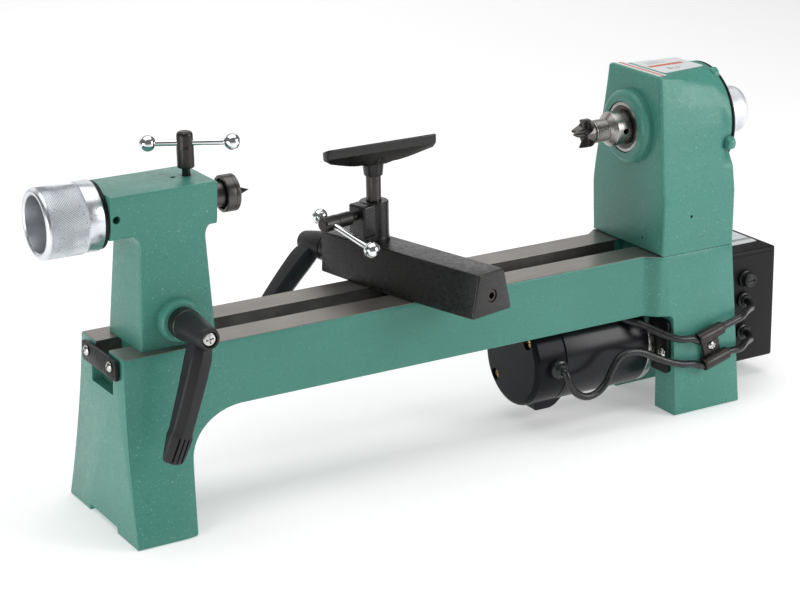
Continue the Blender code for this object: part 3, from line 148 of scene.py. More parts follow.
def skin(name, rings, where=None, closed=False):
    """Faces between rings of equal count, capped at both ends unless closed; a ring may be one point."""
    bm = bmesh.new()
    loops = [[bm.verts.new(p) for p in ring] for ring in rings]
    pairs = list(zip(loops, loops[1:])) + ([(loops[-1], loops[0])] if closed else [])
    for a, b in pairs:
        count = max(len(a), len(b))
        for i in range(count):
            j = (i + 1) % count
            if len(a) == 1:
                bm.faces.new((a[0], b[i], b[j]))
            elif len(b) == 1:
                bm.faces.new((a[i], a[j], b[0]))
            else:
                bm.faces.new((a[i], a[j], b[j], b[i]))
    if not closed:
        for loop in (loops[0], loops[-1]):
            if len(loop) > 2:
                bm.faces.new(loop)
    return new_object(name, bm, where)


def turned(name, profile, where, sides=96, radius=0.0004, steps=3):
    """Revolve (height, radius) points about the piece's own z axis, corners eased."""
    closed = min(p[1] for p in profile) > 0
    line = rounded(profile, radius, closed, steps) if radius else profile
    rings = []
    for z, r in line:
        if r < 1e-6:
            rings.append([(0.0, 0.0, z)])
        else:
            rings.append([(r * math.cos(math.tau * i / sides), r * math.sin(math.tau * i / sides), z)
                          for i in range(sides)])
    return skin(name, rings, where, closed)


def block(name, low, high, where=None, radius=0.0, steps=3):
    bm = bmesh.new()
    bmesh.ops.create_cube(bm, size=1.0)
    low, high = Vector(low), Vector(high)
    for vert in bm.verts:
        vert.co = Vector([vert.co[i] * (high - low)[i] + (low + high)[i] / 2 for i in range(3)])
    if radius:
        bmesh.ops.bevel(bm, geom=list(bm.edges) + list(bm.verts), offset=radius, segments=steps, profile=0.5,
                        affect="EDGES")
    return new_object(name, bm, where if where is not None else HOME)


def plate(name, outline, start, end, where, edge=0.0, steps=2):
    """A flat outline given a thickness along its own z, with eased rims."""
    rings = []
    levels = [(start, 0.0), (end, 0.0)]
    if edge:
        turn = [(1 - math.cos(math.pi / 2 * k / steps), 1 - math.sin(math.pi / 2 * k / steps))
                for k in range(steps + 1)]
        levels = [(start + edge * a, edge * b) for a, b in turn]
        levels += [(end - edge * a, edge * b) for a, b in turn[::-1]]
    for z, inset in levels:
        rings.append([(*(Vector(p) - inset * outward(outline, i)), z) for i, p in enumerate(outline)])
    return skin(name, rings, where)


def outward(outline, i):
    """Unit outward direction at a point of a closed outline."""
    before, here, after = (Vector(outline[k % len(outline)]) for k in (i - 1, i, i + 1))
    along = (after - here).normalized() + (here - before).normalized()
    if along.length < 1e-9:
        return Vector((0, 0))
    side = Vector((along.y, -along.x)).normalized()
    area = sum(a[0] * b[1] - b[0] * a[1] for a, b in zip(outline, outline[1:] + outline[:1]))
    return side if area > 0 else -side


def combine(target, tool, operation="DIFFERENCE"):
    mod = target.modifiers.new("cut", "BOOLEAN")
    mod.operation = operation
    mod.solver = "EXACT"
    mod.object = tool
    settle(target)
    bpy.data.objects.remove(tool, do_unlink=True)
    return target


def drill(target, radius, start, end, where, sides):
    """Cut a round hole along a frame's own z axis."""
    outline = [(start, 0.0), (start, radius), (end, radius), (end, 0.0)]
    return combine(target, turned("drill", outline, where, sides, 0))


def settle(obj):
    """Turn the object's modifiers into its mesh."""
    bpy.context.view_layer.update()
    mesh = bpy.data.meshes.new_from_object(obj.evaluated_get(bpy.context.evaluated_depsgraph_get()))
    obj.modifiers.clear()
    obj.data = mesh
    return obj


def ease(obj, width, segments=2, angle=35):
    mod = obj.modifiers.new("ease", "BEVEL")
    mod.width = width
    mod.segments = segments
    mod.limit_method = "ANGLE"
    mod.angle_limit = math.radians(angle)
    mod.use_clamp_overlap = True
    return settle(obj)


def done(obj, material, body, nodes=(), angle=40):
    """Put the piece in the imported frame, shade it, give it its material and its body."""
    settle(obj)
    world = obj.matrix_world.copy()
    obj.data.transform(world)
    obj.matrix_world = Matrix.Identity(4)
    obj.data.materials.clear()
    obj.data.materials.append(material)
    obj.data.shade_smooth()
    obj.data.set_sharp_from_angle(angle=math.radians(angle))
    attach(obj, body)
    if nodes:
        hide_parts(*nodes)
    return obj


class Look:
    """A Principled material with helpers for its pattern nodes."""

    def __init__(self, name, slot, colour, roughness, metallic=0.0, **sockets):
        self.mat = bpy.data.materials.new(name)
        self.mat.use_nodes = True
        self.nodes = self.mat.node_tree.nodes
        self.links = self.mat.node_tree.links
        self.shader = self.nodes["Principled BSDF"]
        self.colour = colour
        self.roughness = roughness
        self.shader.inputs["Base Color"].default_value = (*colour, 1)
        self.shader.inputs["Roughness"].default_value = roughness
        self.shader.inputs["Metallic"].default_value = metallic
        for key, value in sockets.items():
            self.shader.inputs[key.replace("_", " ")].default_value = value
        self.place = self.nodes.new("ShaderNodeTexCoord").outputs["Object"]
        self.height = None

    def noise(self, scale, detail=2.0, rough=0.5, stretch=(1, 1, 1), turn=(0, 0, 0), at=(0, 0, 0)):
        source = self.place
        if stretch != (1, 1, 1) or turn != (0, 0, 0):
            source = self.mapped(stretch, turn, at)
        node = self.nodes.new("ShaderNodeTexNoise")
        node.inputs["Scale"].default_value = scale
        node.inputs["Detail"].default_value = detail
        node.inputs["Roughness"].default_value = rough
        self.links.new(source, node.inputs["Vector"])
        return node.outputs["Fac"]

    def mapped(self, stretch=(1, 1, 1), turn=(0, 0, 0), at=(0, 0, 0)):
        node = self.nodes.new("ShaderNodeMapping")
        node.vector_type = "TEXTURE" if at != (0, 0, 0) else "POINT"
        node.inputs["Location"].default_value = at
        node.inputs["Rotation"].default_value = turn
        node.inputs["Scale"].default_value = stretch
        self.links.new(self.place, node.inputs["Vector"])
        return node.outputs["Vector"]

    def rings(self, scale, axis, at, distortion=0.4):
        """Turning marks: fine rings about an axis through a point."""
        node = self.nodes.new("ShaderNodeTexWave")
        node.wave_type = "RINGS"
        node.rings_direction = axis
        node.inputs["Scale"].default_value = scale
        node.inputs["Distortion"].default_value = distortion
        node.inputs["Detail"].default_value = 2.0
        self.links.new(self.mapped(at=at), node.inputs["Vector"])
        return node.outputs["Fac"]

    def bands(self, scale, axis, distortion=0.6):
        """Turning marks along an axis: fine bands."""
        node = self.nodes.new("ShaderNodeTexWave")
        node.bands_direction = axis
        node.inputs["Scale"].default_value = scale
        node.inputs["Distortion"].default_value = distortion
        node.inputs["Detail"].default_value = 2.0
        self.links.new(self.place, node.inputs["Vector"])
        return node.outputs["Fac"]

    def steps(self, value, *stops):
        """Map a value through (position, grey or colour) stops."""
        node = self.nodes.new("ShaderNodeValToRGB")
        ramp_ = node.color_ramp
        while len(ramp_.elements) < len(stops):
            ramp_.elements.new(0.5)
        for element, (position, level) in zip(ramp_.elements, stops):
            element.position = position
            element.color = (level, level, level, 1) if not isinstance(level, tuple) else (*level, 1)
        self.links.new(value, node.inputs["Fac"])
        return node.outputs["Color"]

    def colours(self, value, *stops):
        """Base colour as multiples of the look's own colour."""
        stops = [(p, tuple(c * k for c in self.colour) if not isinstance(k, tuple) else k) for p, k in stops]
        self.links.new(self.steps(value, *stops), self.shader.inputs["Base Color"])
        return self

    def spots(self, base, value, low, high, tint):
        """Mix a second colour over the base where the value lies above a limit."""
        mix = self.nodes.new("ShaderNodeMix")
        mix.data_type = "RGBA"
        source = self.shader.inputs["Base Color"]
        if source.is_linked:
            self.links.new(source.links[0].from_socket, mix.inputs["A"])
        else:
            mix.inputs["A"].default_value = (*base, 1)
        mix.inputs["B"].default_value = (*tint, 1)
        self.links.new(self.steps(value, (low, 0.0), (high, 1.0)), mix.inputs["Factor"])
        self.links.new(mix.outputs["Result"], source)
        return self

    def gloss(self, value, low, high):
        node = self.nodes.new("ShaderNodeMapRange")
        node.inputs["To Min"].default_value = low
        node.inputs["To Max"].default_value = high
        node.inputs["From Min"].default_value = 0.3
        node.inputs["From Max"].default_value = 0.7
        self.links.new(value, node.inputs["Value"])
        self.links.new(node.outputs["Result"], self.shader.inputs["Roughness"])
        return self

    def bump(self, value, distance, strength=1.0):
        node = self.nodes.new("ShaderNodeBump")
        node.inputs["Distance"].default_value = distance
        node.inputs["Strength"].default_value = strength
        self.links.new(value, node.inputs["Height"])
        if self.height:
            self.links.new(self.height, node.inputs["Normal"])
        self.height = node.outputs["Normal"]
        self.links.new(self.height, self.shader.inputs["Normal"])
        return self


def green_enamel():
    look = Look("green_enamel", "green_paint", (0.068, 0.258, 0.205), 0.32, Specular_IOR_Level=0.36)
    look.colours(look.noise(9, 3), (0.30, 0.93), (0.70, 1.06))
    # painted highlights: lighter flecks in the colour stand for glints off the grainy enamel
    look.spots(None, look.noise(950, 1), 0.675, 0.76, (0.28, 0.53, 0.46))
    look.gloss(look.noise(260, 3), 0.25, 0.40)
    look.bump(look.noise(70, 3), 0.00016, 0.6)
    look.bump(look.noise(620, 3, 0.6), 0.00012, 0.9)
    return look.mat


def ground_iron():
    look = Look("ground_iron", "bright_steel", (0.285, 0.264, 0.243), 0.36, 0.85)
    look.colours(look.noise(14, 4), (0.28, 0.80), (0.72, 1.10))
    look.gloss(look.noise(1500, 3, 0.6, (0.02, 1, 1)), 0.30, 0.46)
    look.bump(look.noise(2200, 2, 0.6, (0.015, 1, 1)), 0.000010, 0.7)
    return look.mat


def bare_iron_side():
    look = Look("cast_iron_side", "bright_steel", (0.150, 0.142, 0.134), 0.50, 0.7)
    look.colours(look.noise(60, 4), (0.30, 0.75), (0.70, 1.25))
    look.bump(look.noise(500, 3), 0.00008, 0.7)
    return look.mat


def black_cast():
    look = Look("black_cast_paint", "black_paint", (0.0082, 0.0074, 0.0068), 0.32, Specular_IOR_Level=0.50)
    look.colours(look.noise(12, 4), (0.30, 0.80), (0.70, 1.30))
    look.gloss(look.noise(300, 3), 0.24, 0.42)
    look.bump(look.noise(90, 3), 0.00016, 0.6)
    look.bump(look.noise(480, 3, 0.6), 0.00016, 0.9)
    return look.mat


def coat(name, slot, colour, roughness, patches, gloss, grain, metallic=0.0, **sockets):
    """Cloudy patches of colour, uneven gloss and a fine grain."""
    look = Look(name, slot, colour, roughness, metallic, **sockets)
    size, detail, low, high = patches
    look.colours(look.noise(size, detail), (0.30, low), (0.70, high))
    size, detail, low, high = gloss
    look.gloss(look.noise(size, detail), low, high)
    size, depth, strength = grain
    look.bump(look.noise(size, 2), depth, strength)
    return look.mat


def motor_paint(name, shine):
    return coat(name, "black_paint", (0.0075, 0.0078, 0.0100), 0.26, (8, 2, 0.92, 1.12),
                (30, 2, 0.22, 0.30), (1400, 0.000012, 0.6), Specular_IOR_Level=shine)


def turned_metal(name, slot, colour, rough, axis, at, grain=900, mark=0.000012, metallic=1.0):
    """Metal off the lathe: rings on faces, bands on the outside, small changes of gloss."""
    look = Look(name, slot, colour, sum(rough) / 2, metallic)
    look.colours(look.noise(70, 3), (0.30, 0.90), (0.70, 1.06))
    look.gloss(look.noise(400, 3), *rough)
    look.bump(look.rings(grain, axis, at), mark, 0.8)
    look.bump(look.bands(grain * 0.9, axis), mark * 0.7, 0.6)
    return look.mat


def plain_metal(name, slot, colour, rough, metallic=1.0, texture=900, depth=0.00001):
    return coat(name, slot, colour, sum(rough) / 2, (90, 3, 0.85, 1.10), (350, 3, *rough),
                (texture, depth, 0.7), metallic)


def printed(name, colour):
    return coat(name, "black_paint", colour, 0.38, (140, 2, 0.96, 1.02), (400, 2, 0.34, 0.44),
                (900, 0.000006, 0.4), Specular_IOR_Level=0.4)


GREEN = green_enamel()
GROUND = ground_iron()
IRON_SIDE = bare_iron_side()
BLACK_CAST = black_cast()
BLACK_SHEET = coat("black_sheet_paint", "black_paint", (0.012, 0.012, 0.013), 0.40, (6, 2, 0.92, 1.10),
                   (180, 3, 0.34, 0.46), (1700, 0.000018, 0.6), Specular_IOR_Level=0.18)
MOTOR_BLACK = motor_paint("motor_paint", 0.30)
# painted shade: the motor paint with less shine, so the end bell reads darker than the can
BELL_SHADED_BLACK = motor_paint("end_bell_paint_shaded", 0.10)
LEVER = coat("lever_plastic", "black_plastic", (0.018, 0.018, 0.020), 0.44, (25, 3, 0.88, 1.18),
             (500, 3, 0.38, 0.54), (1900, 0.000030, 0.7), Specular_IOR_Level=0.35)
PLASTIC = coat("moulded_plastic", "black_plastic", (0.014, 0.014, 0.015), 0.33, (40, 2, 0.90, 1.15),
               (300, 2, 0.26, 0.40), (1500, 0.000014, 0.6))
JACKET = coat("lead_jacket", "black_rubber", (0.012, 0.012, 0.013), 0.28, (60, 2, 0.85, 1.25),
              (160, 3, 0.22, 0.36), (900, 0.000020, 0.6))
CHROME = coat("polished_chrome", "chrome", (0.86, 0.87, 0.89), 0.05, (50, 2, 0.96, 1.02),
              (90, 4, 0.03, 0.09), (40, 0.00002, 0.3), 1.0)
AXIS_AT = tuple(SPINDLE)
STEEL = turned_metal("turned_steel", "bright_steel", (0.37, 0.357, 0.34), (0.24, 0.36), "X", AXIS_AT)
DARK_TURNED = turned_metal("dark_turned_steel", "dark_steel", (0.115, 0.108, 0.102), (0.26, 0.40), "X",
                           AXIS_AT)
ALUMINIUM = turned_metal("turned_aluminium", "aluminium", (0.77, 0.80, 0.84), (0.26, 0.34), "X", AXIS_AT,
                         700, 0.000008)
BORE_METAL = turned_metal("bored_aluminium", "aluminium", (0.50, 0.52, 0.55), (0.34, 0.46), "X", AXIS_AT)
SATIN_METAL = plain_metal("satin_aluminium", "aluminium", (0.74, 0.76, 0.79), (0.46, 0.60), 0.9, 900,
                          0.000015)
POST_STEEL = plain_metal("post_steel", "bright_steel", (0.088, 0.081, 0.075), (0.28, 0.40), 0.95)
SCREW_STEEL = plain_metal("screw_steel", "bright_steel", (0.66, 0.65, 0.62), (0.16, 0.28), 1.0, 500)
BLACK_STEEL = plain_metal("black_steel", "dark_steel", (0.055, 0.051, 0.049), (0.30, 0.42), 0.8, 700, 0.00002)
YELLOW_ZINC = plain_metal("yellow_zinc", "brass", (0.62, 0.46, 0.22), (0.26, 0.38), 1.0)
LABEL_WHITE = printed("label_white", (0.74, 0.76, 0.77))
LABEL_RED = printed("label_red", (0.62, 0.13, 0.055))
LABEL_GREY = printed("label_grey", (0.36, 0.37, 0.38))


# ------------------------------------------------------------------ bed
BED_BOTTOM = 0.0880
BED_HALF = 0.0396
RAIL_GAP = 0.0123
SEAT_X = (0.4782, 0.5512)
SEAT_HALF = 0.0496
FOOT_X = 0.4895
FOOT_HALF = 0.0573
FOOT_GAP = 0.0286


def tail_side(x, z):
    drop = max(1 - z / BED_TOP, 0.0) ** 1.6
    return BED_HALF + 0.0260 * drop * (1 - ramp(x, 0.030, 0.100))


def bed_ring(x, bottom, half_at, lean=0.0):
    """Cross-section of the bed with its four long edges eased, near bottom round to far bottom."""
    r = 0.0014
    levels = [bottom, bottom + 0.3 * r] + [blend(bottom + r, BED_TOP - r, i / 16) for i in range(17)]
    levels += [BED_TOP - 0.3 * r, BED_TOP]
    insets = [r, 0.3 * r] + [0.0] * 17 + [0.3 * r, r]
    near = [(x - lean * (1 - z / BED_TOP), inset - half_at(x, z), z) for z, inset in zip(levels, insets)]
    return near + [(px, -py, pz) for px, py, pz in reversed(near)]


def bed_rings():
    rings = [bed_ring(0.0, 0.0, tail_side, TAIL_LEAN)]
    rings += [bed_ring(x, 0.0, tail_side) for x in (0.020, 0.028, 0.036, 0.0418)]
    rings += [bed_ring(x, bottom, tail_side) for x, bottom in
              ((0.0425, 0.0010), (0.0440, 0.0150), (0.0450, 0.0250), (0.0458, 0.0340), (0.0472, 0.0500))]
    fillet = 0.036
    for degrees in (4, 9, 15, 21, 27, 34, 41, 49, 57, 66, 75, 84, 90):
        a = math.radians(degrees)
        rings.append(bed_ring(0.0476 + fillet * (1 - math.cos(a)) * 1.3,
                              BED_BOTTOM - fillet * (1 - math.sin(a)), tail_side))
    rings += [bed_ring(x, BED_BOTTOM, tail_side) for x in (0.115, 0.160, 0.260, 0.360, 0.4660)]
    for k in range(1, 8):
        half = blend(BED_HALF, SEAT_HALF, ramp(k / 7, 0.0, 1.0))
        rings.append(bed_ring(blend(0.4665, SEAT_X[0] + 0.0010, k / 7), BED_BOTTOM, lambda x, z, h=half: h))

    def head_side(x, z):
        return blend(FOOT_HALF, SEAT_HALF, z / BED_TOP)

    for k in range(7):
        a = math.pi / 2 * k / 6
        rings.append(bed_ring(FOOT_X - 0.0050 + 0.0050 * math.sin(a), BED_BOTTOM - 0.0050 * (1 - math.cos(a)),
                              head_side))
    rings.append(bed_ring(FOOT_X + 0.0004, 0.0, head_side))
    rings.append(bed_ring(0.5200, 0.0, head_side))
    rings.append(bed_ring(SEAT_X[1], 0.0, head_side, SEAT_X[1] - 0.5570))
    return rings


def make_bed():
    bed = ease(skin("bed", bed_rings(), HOME), 0.0012, 2, 50)
    inner = 0.0316
    cuts = [block("hollow", (0.0080, -inner, -0.010), (0.4880, inner, 0.1220), radius=0.004),
            skin("foot_hollow", [[(0.0015, -0.0570, -0.001), (0.110, -0.0570, -0.001),
                                  (0.110, 0.0570, -0.001), (0.0015, 0.0570, -0.001)],
                                 [(0.0075, -0.0320, 0.085), (0.110, -0.0320, 0.085),
                                  (0.110, 0.0320, 0.085), (0.0075, 0.0320, 0.085)]], HOME),
            block("slot", (-0.020, -RAIL_GAP, 0.110), (0.4830, RAIL_GAP, 0.160)),
            block("mouth", (-0.020, -0.0197, 0.1075), (0.012, 0.0197, 0.1215), radius=0.0015),
            block("notch", (-0.020, -0.0260, -0.010), (0.012, 0.0260, 0.0045), radius=0.001),
            block("gap", (0.4800, -FOOT_GAP, -0.010), (0.570, FOOT_GAP, BED_BOTTOM), radius=0.003),
            block("belt_way", (0.5150, -0.0275, 0.080), (0.5460, 0.0275, 0.150))]
    for cut in cuts:
        combine(bed, cut)
    done(bed, GREEN, "lathe", ["bed_casting"], angle=28)
    make_rails()


def make_rails():
    """Ground tops and bare inner edges of the two rails, a skin over the painted casting."""
    thin = 0.00016
    for side in (-1, 1):
        name = "near" if side < 0 else "far"
        outline = [(0.0006, RAIL_GAP), (0.0006, BED_HALF - 0.0006), (0.4660, BED_HALF - 0.0006),
                   (0.4775, SEAT_HALF - 0.0012), (0.4790, SEAT_HALF - 0.0012), (0.4790, RAIL_GAP)]
        outline = [(x, side * y) for x, y in outline]
        top = plate(f"ground_rail_{name}", outline, BED_TOP - 0.0006, BED_TOP + thin, HOME, 0.00015, 1)
        done(top, GROUND, "lathe")
        low, high = sorted((side * (RAIL_GAP - thin), side * (RAIL_GAP + 0.0004)))
        inner = block(f"rail_edge_{name}", (0.0004, low, 0.1223), (0.4738, high, BED_TOP - 0.0004))
        done(inner, IRON_SIDE, "lathe")


def make_stop_plate():
    low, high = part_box("bed_stop_plate")
    corner = HOME.inverted() @ low
    outline = rectangle(corner.y, low.z, corner.y + (high - low).y, high.z, 0.0030)
    stop = plate("stop_plate", outline, -0.0049, -0.0019, HOME @ FLAT_X, 0.0004)
    done(stop, BLACK_SHEET, "lathe", ["bed_stop_plate"])
    for node in ("stop_screw_near", "stop_screw_far"):
        low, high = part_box(node)
        middle = HOME.inverted() @ ((low + high) / 2)
        where = placed(0, middle.y, middle.z, TO_X)
        head = turned(node + "_head", [(-0.0052, 0.0), (-0.0052, 0.0041), (-0.0060, 0.0040),
                                       (-0.0069, 0.0032), (-0.0076, 0.0019), (-0.0078, 0.0)][::-1], where, 48,
                      0.0003)
        drill(head, 0.0013, -0.0090, -0.0058, where, 6)
        done(head, SCREW_STEEL, "lathe", [node])


# ------------------------------------------------------------------ headstock
HEAD_TOP = 0.2885
FLANGE_R = 0.0455


def flange_arc(start, end, steps):
    return arc((0.0, AXIS_Z), FLANGE_R, start, end, steps)


def head_path(kind):
    """Half outline from the seat up to the crown: 'inboard', 'shoulder' or 'flange'."""
    foot = BED_TOP + GAP
    if kind == "flange":
        lower = [(0.0500, foot), (0.0507, 0.1600), (0.0512, 0.1880), (0.0482, 0.2080)]
        return resample(rounded(lower, 0.0050, False, 4) + flange_arc(-27, 90, 30), 60)
    inboard = [(0.0498, foot), (0.0506, 0.1600), (0.0512, 0.1850), (0.0362, HEAD_TOP), (0.0, HEAD_TOP)]
    if kind == "inboard":
        return resample(rounded(inboard, 0.0026, False, 5), 60)
    shoulder = [(0.0500, foot), (0.0507, 0.1600), (0.0512, 0.1870), (0.0465, 0.2200), (0.0440, 0.2430),
                (0.0410, 0.2600), (0.0352, 0.2755), (0.0235, HEAD_TOP - 0.0002), (0.0, HEAD_TOP)]
    return resample(rounded(shoulder, 0.0060, False, 5), 60)


def resample(line, count):
    """Points at equal steps along a polyline."""
    points = [Vector(p) for p in line]
    lengths = [0.0]
    for a, b in zip(points, points[1:]):
        lengths.append(lengths[-1] + (b - a).length)
    result, k = [], 0
    for i in range(count + 1):
        want = lengths[-1] * i / count
        while k < len(points) - 2 and lengths[k + 1] < want:
            k += 1
        span = lengths[k + 1] - lengths[k]
        result.append(tuple(points[k].lerp(points[k + 1], (want - lengths[k]) / span if span else 0)))
    return result


def make_headstock():
    inboard, shoulder, flange = (head_path(kind) for kind in ("inboard", "shoulder", "flange"))
    rings = []

    def ring(x, half, inset=0.0, lean=0.0):
        loop = [(-y, z) for y, z in half] + [(y, z) for y, z in half[-2::-1]]
        eased = []
        for i, (y, z) in enumerate(loop):
            shift = outward(loop, i) * inset if inset else Vector((0, 0))
            eased.append((x + lean * ramp(z, 0.185, HEAD_TOP), y - shift.x, max(z - shift.y, BED_TOP + GAP)))
        return eased

    r = 0.0022
    for k in range(5):
        a = math.pi / 2 * k / 4
        rings.append(ring(SEAT_X[0] + r * (1 - math.sin(a)), inboard, r * (1 - math.cos(a)), 0.0045))
    rings.reverse()
    rings.sort(key=lambda loop: loop[0][0])
    for k in range(1, 11):
        t = k / 10
        half = [(blend(a[0], b[0], t), blend(a[1], b[1], t)) for a, b in zip(inboard, shoulder)]
        rings.append(ring(blend(SEAT_X[0] + r, 0.5380, t), half, 0.0, 0.0045 * (1 - t)))
    for k in range(1, 7):
        t = k / 6
        half = [(blend(a[0], b[0], ramp(t, 0, 1)), blend(a[1], b[1], ramp(t, 0, 1)))
                for a, b in zip(shoulder, flange)]
        rings.append(ring(blend(0.5380, 0.5500, t), half))
    rings.append(ring(SEAT_X[1] - 0.0003, flange, 0.0003))
    rings.append(ring(SEAT_X[1], flange, 0.0012))
    head = skin("headstock", rings, HOME)
    face = 0.4717
    boss = [(-0.0150, 0.0), (-0.0150, 0.0310), (0.0112, 0.0310), (0.0128, 0.0306), (0.0144, 0.0292),
            (0.0154, 0.0275), (0.0158, 0.0266), (0.0158, 0.0)]
    combine(head, turned("boss", boss, placed(face + 0.0158, 0, AXIS_Z, TO_X.inverted()), 96, 0.0006),
            "UNION")
    for angle, reach in ((118.0, 0.0440), (-162.0, 0.0475)):
        y, z = reach * math.cos(math.radians(angle)), AXIS_Z + reach * math.sin(math.radians(angle))
        lug = turned("lug", [(0.5445, 0.0), (0.5445, 0.0050), (0.5470, 0.0058), (SEAT_X[1] - 0.0001, 0.0058),
                             (SEAT_X[1] - 0.0001, 0.0)], placed(0, y, z, TO_X), 40, 0.0008)
        combine(head, lug, "UNION")
    bore = [(0.460, 0.0), (0.460, 0.0224), (0.4725, 0.0214), (0.4852, 0.0214), (0.4852, 0.0150),
            (0.4995, 0.0150), (0.4995, 0.0)]
    combine(head, turned("bore", bore, ON_AXIS, 96, 0))
    drill(head, 0.0380, 0.4900, 0.560, ON_AXIS, 96)
    for x, y, z, turn in ((0.4805, -0.0217, 0.1507, TO_X), (0.5090, -0.0510, 0.1712, TO_NEAR)):
        drill(head, 0.0013, -0.006, 0.006, placed(x - 0.002, y, z, turn), 20)
    done(head, GREEN, "lathe", ["headstock_casting"], angle=26)
    make_head_labels()


def make_head_labels():
    """Plain printed panels on top of the headstock: a banded one and a narrow striped one."""
    top = HEAD_TOP + 0.00002
    panels = [("label_panel", (0.4965, -0.0235), (0.5405, 0.0250), LABEL_WHITE, 0.0, 0.0030),
              ("label_band", (0.4990, -0.0008), (0.5330, 0.0042), LABEL_RED, 0.0001, 0.0004),
              ("label_mark_a", (0.5090, -0.0150), (0.5120, -0.0080), LABEL_GREY, 0.0001, 0.0010),
              ("label_mark_b", (0.5135, -0.0150), (0.5190, -0.0135), LABEL_GREY, 0.0001, 0.0003),
              ("label_mark_c", (0.5135, -0.0110), (0.5230, -0.0098), LABEL_GREY, 0.0001, 0.0003),
              ("label_mark_d", (0.5040, 0.0100), (0.5220, 0.0112), LABEL_GREY, 0.0001, 0.0003),
              ("label_mark_e", (0.5040, 0.0145), (0.5180, 0.0156), LABEL_GREY, 0.0001, 0.0003),
              ("label_strip", (0.4855, -0.0310), (0.4935, 0.0310), LABEL_WHITE, 0.0, 0.0008),
              ("label_strip_line", (0.4886, -0.0305), (0.4908, 0.0305), LABEL_RED, 0.0001, 0.0002)]
    for name, low, high, material, lift, corner in panels:
        narrow = 0.0050 if high[0] > 0.5350 else 0.0
        outline = [(low[0], low[1]), (high[0], low[1] + narrow), (high[0], high[1] - narrow),
                   (low[0], high[1])]
        panel = plate(name, rounded(outline, corner, True, 4), top - 0.0002, top + 0.00012 + lift, HOME, 0)
        done(panel, material, "lathe")


def make_bearing():
    x = 0.4724
    ring = [(0.0, 0.0209), (0.0, 0.0183), (0.0009, 0.0177), (0.0009, 0.0143), (0.0002, 0.0138),
            (0.0002, 0.0101), (0.0110, 0.0101), (0.0110, 0.0209)]
    bearing = turned("front_bearing_ring", ring, placed(x, 0, AXIS_Z, TO_X), 96, 0.0003)
    done(bearing, STEEL, "lathe", ["front_bearing"])
    seal = turned("bearing_seal", [(0.0, 0.0182), (0.0, 0.0139), (0.0010, 0.0139), (0.0010, 0.0182)],
                  placed(x + 0.0001, 0, AXIS_Z, TO_X), 96, 0.0002)
    done(seal, JACKET, "lathe")


def make_spindle():
    nose = 0.4413
    profile = [(nose, 0.0066), (nose, 0.0086)]
    pitch = 0.0016
    turns = 7
    for i in range(turns):
        start = nose + 0.0008 + i * pitch
        profile += [(start, 0.0086), (start + pitch * 0.40, 0.0096), (start + pitch * 0.55, 0.0096)]
    profile += [(0.4533, 0.0086), (0.4536, 0.0098), (0.4576, 0.0141), (0.4586, 0.0145), (0.4712, 0.0145),
                (0.4716, 0.0141), (0.4716, 0.0098), (0.5590, 0.0098), (0.5590, 0.0080), (0.5860, 0.0080),
                (0.5860, 0.0048), (0.4950, 0.0048), (0.4950, 0.0058)]
    spindle = turned("spindle_nose", profile, ON_AXIS, 96, 0.0002, 2)
    drill(spindle, 0.0025, 0.0058, 0.0200, placed(0.4654, 0, AXIS_Z, TO_NEAR), 32)
    done(spindle, STEEL, "spindle_set", ["spindle"], angle=35)


def make_spur():
    """Four chisel-edged prongs round a centre point, on a stepped shank."""
    sides = 96
    line = [(0.0, 0.4222, 0.0), (0.0012, 0.4240, 0.0), (0.0026, 0.4266, 0.0), (0.0030, 0.4290, 0.0),
            (0.0034, 0.4322, 0.0), (0.0045, 0.4318, 0.6), (0.0080, 0.4300, 0.9), (0.0114, 0.4285, 1.0),
            (0.0118, 0.4290, 1.0), (0.0118, 0.4378, 0.0), (0.0113, 0.4392, 0.0), (0.0100, 0.4404, 0.0),
            (0.0064, 0.4408, 0.0), (0.0055, 0.4412, 0.0), (0.0055, 0.4890, 0.0), (0.0, 0.4890, 0.0)]
    rings = []
    for radius, x, fall in line:
        if radius == 0.0:
            rings.append([(x, 0, AXIS_Z)])
            continue
        ring = []
        for i in range(sides):
            a = math.tau * i / sides
            prong = abs(math.cos(2 * a)) ** 6
            back = 0.0072 * fall * (1 - prong)
            ring.append((min(x + back, 0.4376), radius * math.cos(a), AXIS_Z + radius * math.sin(a)))
        rings.append(ring)
    spur = skin("spur_head", rings, HOME)
    done(spur, DARK_TURNED, "spindle_set", ["spur_centre"], angle=25)


def make_outboard():
    cover = turned("cover_disc", [(0.5515, 0.0130), (0.5515, 0.0462), (0.5530, 0.0462), (0.5542, 0.0448),
                                  (0.5542, 0.0130)], placed(0, -0.0004, AXIS_Z - 0.0008, TO_X),
                   128, 0.0006)
    done(cover, BLACK_SHEET, "lathe", ["belt_cover"])
    wheel = [(0.5562, 0.0150), (0.5562, 0.0172), (0.5590, 0.0200), (0.5850, 0.0200), (0.5880, 0.0193),
             (0.5894, 0.0176), (0.5894, 0.0152), (0.5800, 0.0140), (0.5800, 0.0083), (0.5596, 0.0083),
             (0.5596, 0.0105), (0.5562, 0.0112)]
    done(turned("outboard_wheel", wheel, ON_AXIS, 128, 0.0012, 4), SATIN_METAL, "spindle_set",
         ["spindle_handwheel"])


